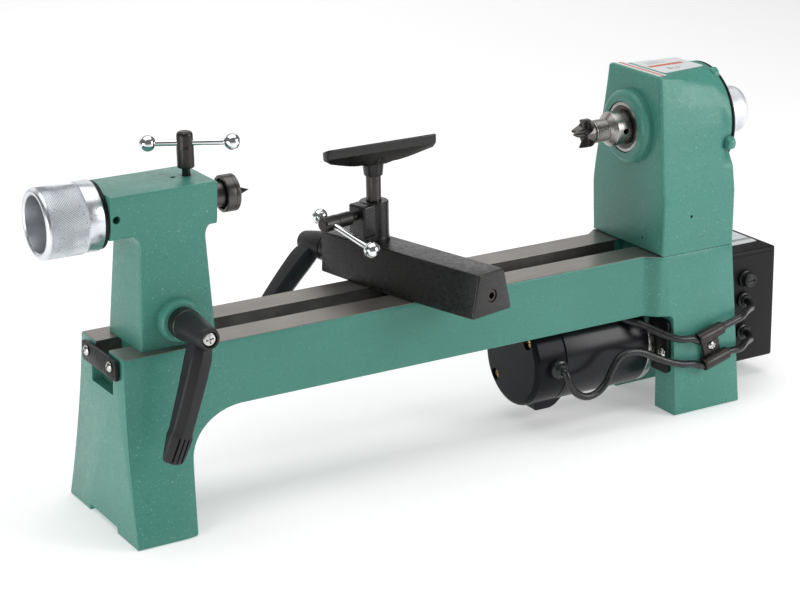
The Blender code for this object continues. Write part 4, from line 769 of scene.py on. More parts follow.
# ------------------------------------------------------------------ motor
def make_motor():
    at = placed(0, MOTOR_AT.y, MOTOR_AT.z, TO_X)
    end, seam, ring, face = 0.3650, 0.3950, 0.4780, 0.4852
    r = 0.0400
    bell = turned("motor_bell", [(end, 0.0), (end, 0.0362), (end + 0.0010, 0.0386), (end + 0.0034, r),
                                 (seam - GAP, r), (seam - GAP, 0.0360), (end + 0.006, 0.0360),
                                 (end + 0.006, 0.0)], at, 128, 0.0016, 5)
    low = MOTOR_AT.z - r
    base = 0.0088
    side_view = [(0.3836, base), (0.3990, base), (0.4040, base + 0.0018), (0.4130, low + 0.0012),
                 (0.3836, low + 0.0012)]
    foot = plate("lug", rounded(side_view, 0.0024, True, 5), -0.0085, 0.0085,
                 placed(0, MOTOR_AT.y, 0, TO_NEAR), 0.0012, 4)
    lug_screw = turned("lug_screw", [(0.0072, 0.0), (0.0072, 0.0024), (0.0088, 0.0038), (0.0092, 0.0038),
                                     (0.0092, 0.0)], placed(0.3930, MOTOR_AT.y, 0), 32, 0.0003)
    done(lug_screw, SCREW_STEEL, "lathe")
    for side, node in ((-1, "tie_bolt_near"), (1, "tie_bolt_far")):
        y, z = MOTOR_AT.y + side * 0.0245, MOTOR_AT.z - side * 0.0205
        hole = placed(0, y, z, TO_X)
        combine(bell, turned("well", [(end - 0.002, 0.0), (end - 0.002, 0.0056), (end + 0.0008, 0.0050),
                                      (end + 0.010, 0.0050), (end + 0.010, 0.0)], hole, 48, 0))
        bolt = turned(node + "_head", [(end + 0.0025, 0.0), (end + 0.0025, 0.0040), (end + 0.0058, 0.0040),
                                       (end + 0.0058, 0.0018), (end + 0.0280, 0.0018), (end + 0.0280, 0.0)],
                      hole, 40, 0.0005)
        combine(bolt, block("slot", (end + 0.0020, y - 0.0032, z - 0.0005),
                            (end + 0.0036, y + 0.0032, z + 0.0005)))
        done(bolt, YELLOW_ZINC, "lathe", [node])
    # the end bell takes the shaded copy of the motor paint: painted shade
    done(bell, BELL_SHADED_BLACK, "lathe", ["motor_end_bell"], angle=30)
    done(foot, MOTOR_BLACK, "lathe", angle=30)
    can = turned("motor_can", [(seam, 0.0355), (seam, r), (ring - GAP, r), (ring - GAP, 0.0355)], at, 128,
                 0.0005)
    done(can, MOTOR_BLACK, "lathe", ["motor_housing"])
    front = turned("motor_ring", [(ring, 0.0355), (ring, 0.0396), (face - 0.0010, 0.0396), (face, 0.0386),
                                  (face, 0.0085), (face - 0.0040, 0.0085), (face - 0.0040, 0.0355)], at, 128,
                   0.0005)
    done(front, SCREW_STEEL, "lathe", ["motor_front_ring"])
    low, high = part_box("motor_plate")
    y0 = (HOME.inverted() @ low).y
    width = (high - low).y
    outline = rectangle(y0, low.z, y0 + width, high.z, 0.0040)
    bracket = plate("motor_bracket", outline, face + GAP, FOOT_X - GAP, HOME @ FLAT_X, 0.0005)
    drill(bracket, 0.0120, 0.48, 0.50, at, 48)
    done(bracket, BLACK_SHEET, "lathe", ["motor_plate"])
    screw_at = placed(0, -0.0440, 0.0540, TO_X)
    head = turned("bracket_screw", [(0.4820, 0.0), (0.4822, 0.0020), (0.4830, 0.0036), (0.4842, 0.0044),
                                    (0.4852, 0.0044), (0.4852, 0.0023), (0.4890, 0.0023), (0.4890, 0.0)],
                  screw_at, 40, 0.0003)
    cross_slot(head, Vector((0.4820, -0.0440, 0.0540)), "X", 0.0028)
    done(head, SCREW_STEEL, "lathe", ["motor_plate_screw"])


def cross_slot(obj, at, axis, reach, depth=0.0012, turn=0.5):
    """Phillips recess: two crossed cuts into a head's face."""
    facing = {"X": TO_X, "-Y": TO_NEAR, "Z": Matrix.Identity(4)}[axis]
    for k in range(2):
        spin = Matrix.Rotation(turn + k * math.pi / 2, 4, "Z")
        cut = block("cross", (-reach, -reach * 0.16, -depth), (reach, reach * 0.16, depth),
                    HOME @ Matrix.Translation(at) @ facing @ spin)
        combine(obj, cut)


# ------------------------------------------------------------------ leads
LEAD_D = 0.0062
MOTOR_Y = MOTOR_AT.y
BOX_GLAND_X = 0.5930
UPPER_GLAND_Z = 0.0735
LOWER_GLAND_Z = 0.0445
CLIP_AT = (0.5250, -0.0567, 0.0570)
CLIP_TURN = math.radians(-15.0)
CLIP_ALONG = Matrix.Rotation(math.pi / 2 + CLIP_TURN, 4, "Y")
CLIP_SPAN = 0.0122
LEAD_OFF = 0.0039

MOTOR_LEAD_ROUTE = [(0.3850, -0.0443, 0.0570), (0.3850, -0.0458, 0.0569), (0.3856, -0.0478, 0.0540),
                    (0.3868, -0.0495, 0.0480), (0.3920, -0.0510, 0.0392), (0.4020, -0.0520, 0.0337),
                    (0.4129, -0.0520, 0.0350), (0.4218, -0.0520, 0.0418), (0.4288, -0.0520, 0.0537),
                    (0.4356, -0.0520, 0.0618), (0.4454, -0.0525, 0.0646), (0.4559, -0.0535, 0.0629),
                    (0.4686, -0.0560, 0.0568), (0.4820, -0.0590, 0.0506), (0.4944, -0.0606, 0.0468),
                    (0.5050, -0.0606, 0.0450)]
SENSOR_LEAD_ROUTE = [(0.3950, MOTOR_Y, 0.1024), (0.4080, 0.0040, 0.1022), (0.4220, -0.0020, 0.1015),
                     (0.4340, -0.0110, 0.0985), (0.4430, -0.0195, 0.0925), (0.4515, -0.0258, 0.0872),
                     (0.4590, -0.0315, 0.0833), (0.4662, -0.0385, 0.0812), (0.4708, -0.0450, 0.0788),
                     (0.4802, -0.0530, 0.0734), (0.4919, -0.0588, 0.0688), (0.5040, -0.0606, 0.0675)]


def clip_point(along, across):
    c, s = math.cos(-CLIP_TURN), math.sin(-CLIP_TURN)
    return (CLIP_AT[0] + along * c - across * s, CLIP_AT[1] - LEAD_OFF, CLIP_AT[2] + along * s + across * c)


def to_box_gland(z, climb):
    return [(0.5560, -0.0590, z + climb), (0.5660, -0.0525, z + climb + 0.0006),
            (0.5760, -0.0445, z + climb * 0.7), (0.5850, -0.0360, z - 0.0006), (0.5903, -0.0300, z - 0.0024),
            (BOX_GLAND_X - 0.0005, -0.0256, z - 0.0012), (BOX_GLAND_X, -0.0230, z), (BOX_GLAND_X, -0.0215, z)]


def smooth_route(points, spacing):
    """Centripetal Catmull-Rom curve through the given points."""
    pts = [Vector(p) for p in points]
    pts = [pts[0] * 2 - pts[1]] + pts + [pts[-1] * 2 - pts[-2]]
    route = []
    for p0, p1, p2, p3 in zip(pts, pts[1:], pts[2:], pts[3:]):
        t1 = (p1 - p0).length ** 0.5
        t2 = t1 + (p2 - p1).length ** 0.5
        t3 = t2 + (p3 - p2).length ** 0.5
        steps = max(1, round((p2 - p1).length / spacing))
        for i in range(steps):
            t = blend(t1, t2, i / steps)
            a1 = p0 * ((t1 - t) / t1) + p1 * (t / t1)
            a2 = p1 * ((t2 - t) / (t2 - t1)) + p2 * ((t - t1) / (t2 - t1))
            a3 = p2 * ((t3 - t) / (t3 - t2)) + p3 * ((t - t2) / (t3 - t2))
            b1 = a1 * ((t2 - t) / t2) + a2 * (t / t2)
            b2 = a2 * ((t3 - t) / (t3 - t1)) + a3 * ((t - t1) / (t3 - t1))
            route.append(b1 * ((t2 - t) / (t2 - t1)) + b2 * ((t - t1) / (t2 - t1)))
    return route + [pts[-2]]


def tube(name, points, radius, where, spacing=0.0022, sides=20):
    """Round tube that follows a smooth curve through points, without twisting."""
    route = smooth_route(points, spacing)
    side = Vector((0, 0, 1))
    rings = []
    for i, p in enumerate(route):
        along = (route[min(i + 1, len(route) - 1)] - route[max(i - 1, 0)]).normalized()
        side = (side - along * side.dot(along)).normalized()
        other = along.cross(side)
        rings.append([tuple(p + side * radius * math.cos(math.tau * k / sides)
                            + other * radius * math.sin(math.tau * k / sides)) for k in range(sides)])
    return skin(name, rings, where)


def make_leads():
    along = 0.0142
    motor_route = MOTOR_LEAD_ROUTE + [clip_point(k * along, -CLIP_SPAN) for k in (-1, 0, 1)]
    sensor_route = SENSOR_LEAD_ROUTE + [clip_point(k * along, CLIP_SPAN) for k in (-1, 0, 1)]
    done(tube("motor_cable", motor_route + to_box_gland(LOWER_GLAND_Z, 0.0040), LEAD_D / 2, HOME), JACKET,
         "lathe", ["motor_lead"])
    done(tube("sensor_cable", sensor_route + to_box_gland(UPPER_GLAND_Z, 0.0034), LEAD_D / 2, HOME), JACKET,
         "lathe", ["sensor_lead"])
    for node, turn, length, flange in (("motor_gland", TO_NEAR, 0.0103, 0.0080),
                                       ("box_gland_upper", TO_NEAR, 0.0058, 0.0072),
                                       ("box_gland_lower", TO_NEAR, 0.0058, 0.0072),
                                       ("mains_gland", TO_X @ TO_X, 0.0115, 0.0072)):
        low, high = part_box(node)
        centre = HOME.inverted() @ ((low + high) / 2)
        base = Vector((centre.x, (HOME.inverted() @ high).y, centre.z))
        if node == "mains_gland":
            base = Vector((centre.x, centre.y, high.z))
        profile = [(0.0, 0.0), (0.0, flange), (0.0022, flange), (0.0030, flange - 0.0010),
                   (0.0033, flange - 0.0020), (length - 0.0010, 0.0052), (length, 0.0042), (length, 0.0)]
        if node == "motor_gland":
            profile = [(0.0, 0.0), (0.0, flange), (0.0040, flange), (0.0056, flange - 0.0006),
                       (0.0062, flange - 0.0022), (length - 0.0010, 0.0050), (length, 0.0042), (length, 0.0)]
        gland = turned(node + "_boot", profile, placed(*base, turn), 48, 0.0005, 3)
        if node == "motor_gland":
            drill(gland, 0.0402, 0.36, 0.41, placed(0, MOTOR_AT.y, MOTOR_AT.z, TO_X), 96)
        done(gland, JACKET, "lathe", [node])


def make_clip():
    """Two black saddles joined by a strip, with a screw between them."""
    where = HOME @ Matrix.Translation(CLIP_AT) @ Matrix.Rotation(CLIP_TURN, 4, "Y")
    half = 0.0130
    clip = block("clip_strip", (-0.0085, -0.0024, -0.0150), (0.0085, -GAP, 0.0150), where, 0.0004, 2)
    for across in (-CLIP_SPAN, CLIP_SPAN):
        at = placed(*clip_point(0, across), CLIP_ALONG)
        sleeve = [(-half, 0.0034), (-half, 0.0052), (-half + 0.0012, 0.0056), (half - 0.0012, 0.0056),
                  (half, 0.0052), (half, 0.0034)]
        combine(clip, turned("saddle", sleeve, at, 48, 0.0005), "UNION")
    for across in (-CLIP_SPAN, CLIP_SPAN):
        at = placed(*clip_point(0, across), CLIP_ALONG)
        drill(clip, 0.0034, -0.02, 0.02, at, 40)
    combine(clip, block("back", (-0.03, -GAP, -0.03), (0.03, 0.02, 0.03), where))
    done(clip, BLACK_STEEL, "lathe", ["lead_clip"], angle=35)
    at = placed(*CLIP_AT, TO_NEAR)
    head = turned("clip_screw_head", [(0.0001, 0.0), (0.0001, 0.0018), (0.0025, 0.0018), (0.0025, 0.0040),
                                      (0.0036, 0.0036), (0.0046, 0.0022), (0.0050, 0.0)], at, 40, 0.0003)
    cross_slot(head, Vector(CLIP_AT) + Vector((0, -0.0050, 0)), "-Y", 0.0022)
    done(head, SCREW_STEEL, "lathe", ["lead_clip_screw"])


# ------------------------------------------------------------------ control box
def make_control_box():
    low, high = own_box("control_box")
    box = block("box_shell", low, high, HOME, 0.0022, 4)
    wall = 0.0020
    combine(box, block("inside", low + Vector((wall, wall, wall)), high + Vector((-wall, 0.02, -wall))))
    for z in (UPPER_GLAND_Z, LOWER_GLAND_Z):
        drill(box, 0.0035, -0.01, 0.01, placed(BOX_GLAND_X, low.y, z, TO_NEAR), 32)
    groove = high.z - 0.0046
    cut = block("groove", (low.x - 0.01, low.y - 0.01, groove),
                (high.x + 0.01, high.y + 0.01, groove + 0.0005))
    keep = block("core", (low.x + 0.0004, low.y + 0.0004, groove - 0.001),
                 (high.x - 0.0004, high.y + 0.02, groove + 0.002))
    combine(cut, keep)
    combine(box, cut)
    done(box, BLACK_SHEET, "lathe", ["control_box"], angle=35)
    sticker = rectangle(low.x + 0.0060, low.y + 0.0190, high.x - 0.0050, high.y - 0.008, 0.0030, 4)
    panel = plate("box_label", sticker, high.z - 0.0003, high.z + 0.00015, HOME, 0)
    done(panel, LABEL_WHITE, "lathe")
    stripe = rectangle(low.x + 0.0064, low.y + 0.0270, high.x - 0.0054, low.y + 0.0320)
    done(plate("box_label_stripe", stripe, high.z - 0.0002, high.z + 0.00025, HOME, 0), LABEL_GREY, "lathe")
    make_box_front()
    cap_low, cap_high = own_box("fuse_cap")
    centre = (cap_low + cap_high) / 2
    at = Vector((centre.x, cap_high.y, centre.z))
    cap = turned("fuse_holder_cap", [(0.0, 0.0), (0.0, 0.0078), (0.0024, 0.0078), (0.0031, 0.0066),
                                     (0.0078, 0.0062), (0.0086, 0.0054), (0.0088, 0.0)], placed(*at, TO_NEAR),
                 64, 0.0006)
    combine(cap, turned("rim", [(0.0080, 0.0038), (0.0080, 0.0046), (0.0092, 0.0046), (0.0092, 0.0038)],
                        placed(*at, TO_NEAR), 64, 0))
    combine(cap, block("slot", (at.x - 0.0036, at.y - 0.0092, at.z - 0.0007),
                       (at.x + 0.0036, at.y - 0.0076, at.z + 0.0007)))
    done(cap, PLASTIC, "lathe", ["fuse_cap"], angle=35)


def make_box_front():
    """Front panel with its dial marks, the speed knob and the rocker switch."""
    low, high = own_box("control_panel")
    panel = block("front_panel", low, high, HOME, 0.0006, 2)
    knob = HOME.inverted() @ Vector(JOINTS["speed_knob_turn"]["pos_m"])
    rocker = HOME.inverted() @ Vector(JOINTS["power_switch_rock"]["pos_m"])
    drill(panel, 0.0036, -0.01, 0.01, placed(*knob, TO_FAR), 32)

    def cut_window(piece):
        combine(piece, block("window", (rocker.x - 0.0118, low.y - 0.01, rocker.z - 0.0066),
                             (rocker.x + 0.0118, high.y + 0.01, rocker.z + 0.0066)))

    cut_window(panel)
    done(panel, BLACK_SHEET, "lathe", ["control_panel"])
    for k in range(11):
        a = math.radians(225 - 27 * k)
        mark = block(f"dial_mark_{k}", (0.0168, high.y, -0.0004), (0.0190, high.y + 0.0002, 0.0004),
                     HOME @ Matrix.Translation((knob.x, 0, knob.z)) @ Matrix.Rotation(-a, 4, "Y"))
        done(mark, LABEL_WHITE, "lathe")
    at = placed(*knob, TO_FAR)
    dial = turned("speed_dial", [(-0.0080, 0.0), (-0.0080, 0.0030), (0.0, 0.0030), (0.0, 0.0135),
                                 (0.0018, 0.0138), (0.0030, 0.0128), (0.0112, 0.0118), (0.0130, 0.0104),
                                 (0.0130, 0.0)], at, 96, 0.0007)
    for k in range(18):
        a = math.tau * k / 18
        drill(dial, 0.0009, 0.0034, 0.0150,
              at @ Matrix.Translation((0.0128 * math.cos(a), 0.0128 * math.sin(a), 0)), 10)
    done(dial, PLASTIC, "speed_dial", ["speed_knob"], angle=35)
    pointer = block("dial_pointer", (-0.0004, 0.0040, 0.0128), (0.0004, 0.0098, 0.0132),
                    at @ Matrix.Rotation(math.radians(135), 4, "Z"))
    done(pointer, LABEL_WHITE, "speed_dial")
    bezel = block("switch_bezel", (rocker.x - 0.0138, high.y + 0.0001, rocker.z - 0.0086),
                  (rocker.x + 0.0138, high.y + 0.0012, rocker.z + 0.0086), HOME, 0.0004, 2)
    cut_window(bezel)
    done(bezel, PLASTIC, "lathe")
    switch = [(-0.0100, -0.0060), (0.0100, -0.0060), (0.0100, 0.0008), (0.0040, 0.0009), (0.0, 0.0014),
              (-0.0040, 0.0023), (-0.0100, 0.0042)]
    key = plate("rocker_key", rounded(switch, 0.0006, True, 3), -0.0060, 0.0060,
                HOME @ Matrix.Translation(rocker + Vector((0, high.y + 0.0007 - rocker.y, 0))), 0.0005)
    done(key, PLASTIC, "rocker", ["power_switch"])


# ------------------------------------------------------------------ tailstock
def box_ring(left, right, half, z, corner, steps=5):
    """Rounded rectangle in plan at a height."""
    return [(x, y, z) for x, y in rectangle(left, -half, right, half, corner, steps, True)]


def make_tailstock():
    low_z, high_z = 0.2265, 0.2605
    rings = []
    for k in range(13):
        t = k / 12 * 0.91
        rings.append(box_ring(blend(0.0181, 0.0248, t), blend(0.0800, 0.0772, t), blend(0.0300, 0.0248, t),
                              blend(BED_TOP + GAP, low_z, t), 0.0026))
    for k in range(1, 11):
        a = math.pi / 2 * k / 10
        flare = 0.0078 * (1 - math.cos(a))
        z = blend(BED_TOP + GAP, low_z, 0.91) + 0.0092 * math.sin(a)
        rings.append(box_ring(0.0242 - flare, 0.0774 + flare * 0.7, 0.02525 + flare * 0.02, z, 0.0026))
    rings.append(box_ring(0.0242 - 0.0078, 0.0774 + 0.0055, 0.0254, low_z + 0.0060, 0.0026))
    tail = skin("tailstock", rings, HOME)
    half = [(0.0, low_z), (0.0205, low_z), (0.0246, low_z + 0.0012), (0.0257, low_z + 0.0058),
            (0.0285, high_z + 0.0001), (0.0, high_z + 0.0001)]
    outline = half + [(-y, z) for y, z in half[-2:0:-1]]
    barrel = plate("barrel", rounded(outline, 0.0014, True, 5), 0.0018, 0.0870, HOME @ FLAT_X, 0.0007, 4)
    combine(tail, barrel, "UNION")
    boss = [(-0.010, 0.0), (-0.010, 0.0172), (0.0050, 0.0168), (0.0072, 0.0160), (0.0085, 0.0146),
            (0.0085, 0.0)]
    at = placed(CLAMP_AT.x, -0.0275, CLAMP_AT.z, TO_NEAR)
    combine(tail, turned("clamp_boss", boss, at, 72, 0.0012), "UNION")
    combine(tail, block("tongue", (0.0205, -0.0118, 0.1300), (0.0770, 0.0118, 0.1500)), "UNION")
    drill(tail, 0.0118, -0.010, 0.10, ON_AXIS, 72)
    drill(tail, 0.0030, 0.0180, 0.040, placed(0.0062, 0, 0.2432, TO_NEAR), 32)
    drill(tail, 0.0021, 0.2580, 0.280, placed(0.0640, 0, 0), 24)
    drill(tail, 0.0036, 0.2400, 0.280, placed(QUILL_LOCK_AT.x, 0, 0), 32)
    done(tail, GREEN, "tailstock", ["tailstock_casting"], angle=27)


def knurled_wheel(name, start, end, radius, knurl, where, count=84):
    """Open-ended grip: eased rim, diamond knurl between two places, smooth collar, deep bore."""
    sides = count * 6
    pitch = math.tau * radius / count
    rows = round((knurl[1] - knurl[0]) / pitch * 6)
    outer = [(start, radius - 0.0022), (start + 0.0004, radius - 0.0015), (start + 0.0012, radius - 0.0007),
             (start + 0.0022, radius - 0.0003)]
    outer += [(blend(knurl[0], knurl[1], i / rows), radius) for i in range(rows + 1)]
    outer += [(knurl[1] + 0.0005, radius - 0.0009), (knurl[1] + 0.0010, radius - 0.0003),
              (end - 0.0016, radius - 0.0003), (end - 0.0005, radius - 0.0008), (end, radius - 0.0018)]
    inner = [(end, 0.0053), (start + 0.0340, 0.0053), (start + 0.0340, 0.0198), (start + 0.0330, 0.0204),
             (start + 0.0020, 0.0213), (start + 0.0004, 0.0222), (start, 0.0230)]
    rings = []
    for x, r in outer + inner:
        cut_here = 0.0011 if knurl[0] < x < knurl[1] and r == radius else 0.0
        ring = []
        for k in range(sides):
            a = math.tau * k / sides
            u, v = a * count / math.tau, (x - knurl[0]) / pitch
            groove = max(abs((u + v) % 1 - 0.5), abs((u - v) % 1 - 0.5)) * 2
            depth = cut_here * groove ** 2
            ring.append(((r - depth) * math.cos(a), (r - depth) * math.sin(a), x))
        rings.append(ring)
    return skin(name, rings, where, closed=True)


def make_tail_wheel():
    start, end = -0.0465, -0.0013
    wheel = knurled_wheel("feed_handwheel", start, end, 0.0269, (start + 0.0030, end - 0.0132), ON_AXIS)
    done(wheel, ALUMINIUM, "feed_wheel", ["tailstock_handwheel"], angle=50)
    liner = [(start + 0.0010, 0.0213), (start + 0.0010, 0.0223), (start + 0.0025, 0.0216),
             (start + 0.0332, 0.0206), (start + 0.0342, 0.0200), (start + 0.0342, 0.0054),
             (start + 0.0336, 0.0054), (start + 0.0336, 0.0194)]
    done(turned("wheel_bore", liner, ON_AXIS, 96, 0.0002), BORE_METAL, "feed_wheel")
    # painted shade: a black collar fills the gap between handwheel and casting, standing for the shadow in
    # that gap
    collar = turned("gap_shadow_ring", [(-0.0010, 0.0108), (-0.0010, 0.0255), (0.0014, 0.0255), (0.0014, 0.0108)],
                    ON_AXIS, 96, 0.0004)
    done(collar, BLACK_SHEET, "tailstock", ["thrust_collar"])
    quill = turned("quill_tube", [(0.0110, 0.0064), (0.0110, 0.0115), (0.0925, 0.0115), (0.0932, 0.0108),
                                  (0.0932, 0.0064)], ON_AXIS, 96, 0.0003)
    done(quill, STEEL, "quill_set", ["quill"])
    arbor = turned("centre_arbor", [(0.0560, 0.0), (0.0560, 0.0050), (0.0936, 0.0060), (0.0936, 0.0090),
                                    (0.1050, 0.0100), (0.1058, 0.0092), (0.1058, 0.0030), (0.1086, 0.0030),
                                    (0.1086, 0.0)], ON_AXIS, 72, 0.0003)
    done(arbor, DARK_TURNED, "quill_set", ["live_centre_arbor"])
    cup = [(0.1262, 0.0), (0.1160, 0.0037), (0.1150, 0.0043), (0.1110, 0.0046), (0.1110, 0.0106),
           (0.1130, 0.0124), (0.1134, 0.0134), (0.1127, 0.0143), (0.1098, 0.0143), (0.1095, 0.0140),
           (0.1092, 0.0143), (0.1031, 0.0143), (0.1023, 0.0137), (0.1023, 0.0122), (0.1030, 0.0117),
           (0.1062, 0.0117), (0.1062, 0.0034), (0.1092, 0.0034), (0.1092, 0.0)]
    done(turned("centre_cup", cup, ON_AXIS, 96, 0.0003), DARK_TURNED, "live_centre", ["live_centre_cup"])


def tommy_bar(name, where, left, right, body, node):
    ball, bar = 0.0064, 0.0024
    meet = math.degrees(math.asin(bar / ball))
    lower = [(z - left, r) for z, r in arc((0, 0), ball, 180, meet, 20)]
    upper = [(z + right, r) for z, r in arc((0, 0), ball, 180 - meet, 0, 20)]
    lower[0], upper[-1] = (-left - ball, 0.0), (right + ball, 0.0)
    done(turned(name, lower + upper, where, 64, 0), CHROME, body, [node])


def make_quill_lock():
    at = placed(QUILL_LOCK_AT.x, 0, 0)
    tip = AXIS_Z + 0.0118
    head = [(tip, 0.0), (tip, 0.0032), (0.2665, 0.0032), (0.2667, 0.0062), (0.2680, 0.0065), (0.2815, 0.0065),
            (0.2835, 0.0062), (0.2915, 0.0062), (0.2934, 0.0055), (0.2942, 0.0038), (0.2942, 0.0)]
    screw = turned("quill_lock_head", head, at, 72, 0.0008, 4)
    direction = Vector(JOINTS["quill_bar_slide"]["axis"])
    across = direction.to_track_quat("Z", "Y").to_matrix().to_4x4()
    bar_at = placed(QUILL_LOCK_AT.x, 0, 0.2855, across)
    drill(screw, 0.0026, -0.01, 0.01, bar_at, 32)
    done(screw, BLACK_STEEL, "quill_lock", ["quill_lock_screw"], angle=35)
    tommy_bar("quill_lock_handle", bar_at, 0.0277, 0.0347, "quill_bar", "quill_lock_bar")


def lever(name, where, base, end, body, node):
    """Clamping lever: tapered hub, ridged arm with a swell and three grooves near its tip."""
    well = 0.0088
    hub = turned(name, [(base, 0.0058), (base, 0.0118), (base + 0.0140, 0.0110), (end - 0.0030, 0.0087),
                        (end - 0.0008, 0.0080), (end, 0.0072), (end, 0.0060), (end - well, 0.0060),
                        (end - well, 0.0034), (base + 0.010, 0.0034), (base + 0.010, 0.0058)], where, 72,
                 0.0006)
    done(hub, LEVER, body, [node], angle=32)
    top = end - 0.0010

    def section(along, width, low, high):
        half = width / 2
        eased = 0.24 * width
        shape = [(-half, low + eased * 0.7), (-half + eased, low), (half - eased, low),
                 (half, low + eased * 0.7), (half, high - 0.0024), (half - 0.0012, high - 0.0011),
                 (-0.10 * width, high + 0.0005), (-half + 0.0010, high - 0.0034), (-half, high - 0.0046)]
        return [(along, y, z) for y, z in rounded(shape, 0.0006, True, 2, True)]

    stations = ((0.0068, 0.0135, 0.0200, 0.0036), (0.0120, 0.0156, 0.0196, 0.0018),
                (0.0180, 0.0162, 0.0190, 0.0008), (0.0300, 0.0161, 0.0178, 0.0002),
                (0.0450, 0.0159, 0.0165, 0.0000), (0.0600, 0.0157, 0.0158, 0.0004),
                (0.0710, 0.0156, 0.0152, 0.0008), (0.0735, 0.0164, 0.0150, 0.0009),
                (0.0758, 0.0176, 0.0150, 0.0009), (0.0780, 0.0179, 0.0149, 0.0010),
                (0.0840, 0.0173, 0.0143, 0.0018), (0.0900, 0.0166, 0.0136, 0.0026),
                (0.0945, 0.0158, 0.0130, 0.0034), (0.0966, 0.0144, 0.0124, 0.0042),
                (0.0975, 0.0122, 0.0116, 0.0052))
    arm = skin(name + "_arm", [section(x, w, top - low, top - high) for x, w, low, high in stations], where)
    for offset in (-0.0026, 0.0012, 0.0050):
        groove = block("groove", (0.0765, offset - 0.0006, top - 0.0050),
                       (0.1000, offset + 0.0006, top + 0.003), where)
        combine(arm, groove)
    drill(arm, 0.0074, -0.01, end + 0.01, where, 48)
    done(arm, LEVER, body, angle=28)


def lever_screw(name, where, end, foot, body, node):
    screw = turned(name, [(foot, 0.0), (foot, 0.0028), (end - 0.0036, 0.0028), (end - 0.0036, 0.0055),
                          (end - 0.0013, 0.0055), (end - 0.0005, 0.0044), (end - 0.0002, 0.0020),
                          (end - 0.0002, 0.0)], where, 64, 0.0003)
    for k in range(2):
        spin = Matrix.Rotation(0.5 + k * math.pi / 2, 4, "Z")
        cross = block("cross", (-0.0032, -0.0006, end - 0.0018), (0.0032, 0.0006, end + 0.002), where @ spin)
        combine(screw, cross)
    done(screw, SCREW_STEEL, body, [node], angle=35)


def make_tail_clamp():
    at = placed(CLAMP_AT.x, -0.0360, CLAMP_AT.z)
    hub = 0.0098
    shaft = [(-0.0640, 0.0), (-0.0640, 0.0055), (GAP, 0.0055), (GAP, 0.0122), (hub - 0.0008, 0.0122),
             (hub, 0.0116), (hub, 0.0055), (0.0198, 0.0055), (0.0198, 0.0)]
    done(turned("tail_clamp_hub", shaft, at @ TO_NEAR, 72, 0.0004), BLACK_STEEL, "tailstock_lever",
         ["tailstock_clamp_shaft"])
    turn = Matrix.Rotation(math.pi / 2 + math.radians(18.2), 4, "Y") @ Matrix.Rotation(math.pi / 2, 4, "X")
    lever("tail_lever", at @ turn, 0.0102, 0.0470, "tailstock_grip", "tailstock_lock_handle")
    lever_screw("tail_lever_screw", at @ turn, 0.0468, 0.0202, "tailstock_lever", "tailstock_handle_screw")


# ------------------------------------------------------------------ tool rest
REST_BAR_X = -0.0470
REST_LOCK_Z = 0.1975


def make_banjo():
    near, far, top = -0.1300, 0.0470, 0.1745

    def ring(y, bottom, crown, inset=0.0):
        low = BED_TOP + GAP + inset
        shape = [(-bottom + inset, low), (bottom - inset, low), (bottom - inset - 0.0004, low + 0.004),
                 (crown - inset, top - inset), (-crown + inset, top - inset),
                 (-bottom + inset + 0.0004, low + 0.004)]
        return [(x, y, z) for x, z in rounded(shape, 0.0016, True, 4, True)]

    r = 0.0014
    rings = [ring(near + r * (1 - math.sin(a)), 0.0211, 0.0137, r * (1 - math.cos(a)) * 0.8)
             for a in (math.pi / 2, math.pi / 3, math.pi / 6, 0)]
    rings = sorted(rings, key=lambda loop: loop[0][1])
    rings += [ring(y, b, c) for y, b, c in ((-0.110, 0.0214, 0.0139), (-0.064, 0.0218, 0.0142),
                                            (-0.030, 0.0206, 0.0145), (0.010, 0.0190, 0.0148),
                                            (0.030, 0.0176, 0.0149))]
    rings += [ring(far - r * (1 - math.sin(a)), 0.0165, 0.0150, r * (1 - math.cos(a)) * 0.8)
              for a in (0, math.pi / 6, math.pi / 3, math.pi / 2)]
    rings = [rings[0]] + [loop for previous, loop in zip(rings, rings[1:])
                          if loop[0][1] - previous[0][1] > 1e-5]
    carrier = skin("carrier", rings, BANJO)
    rim = 0.2066
    lug = block("lock_block", (-0.0193, -0.0092, 0.1800), (0.0, 0.0092, rim - 0.0006), BANJO, 0.0016, 4)
    socket = turned("socket", [(0.160, 0.0), (0.160, 0.0125), (0.1765, 0.0125), (0.1785, 0.0121),
                               (0.1820, 0.0119), (rim, 0.0119), (rim, 0.0)], BANJO, 72, 0.0012, 4)
    combine(lug, socket, "UNION")
    combine(carrier, lug, "UNION")
    bore = turned("post_bore", [(0.1600, 0.0), (0.1600, 0.0063), (rim - 0.0006, 0.0063), (0.2200, 0.0105),
                                (0.2200, 0.0)], BANJO, 64, 0)
    combine(carrier, bore)
    drill(carrier, 0.0036, -0.030, 0.0, placed(0, 0, REST_LOCK_Z, TO_X, BANJO), 32)
    combine(carrier, block("hollow", (-0.0095, -0.1120, 0.130), (0.0095, -0.0105, 0.1600), BANJO, 0.002, 2))
    drill(carrier, 0.0053, -0.060, 0.140, placed(0, 0, CAM_Z, TO_NEAR, BANJO), 48)
    done(carrier, BLACK_CAST, "banjo", ["banjo_casting"], angle=30)
    make_banjo_clamp(near, far)


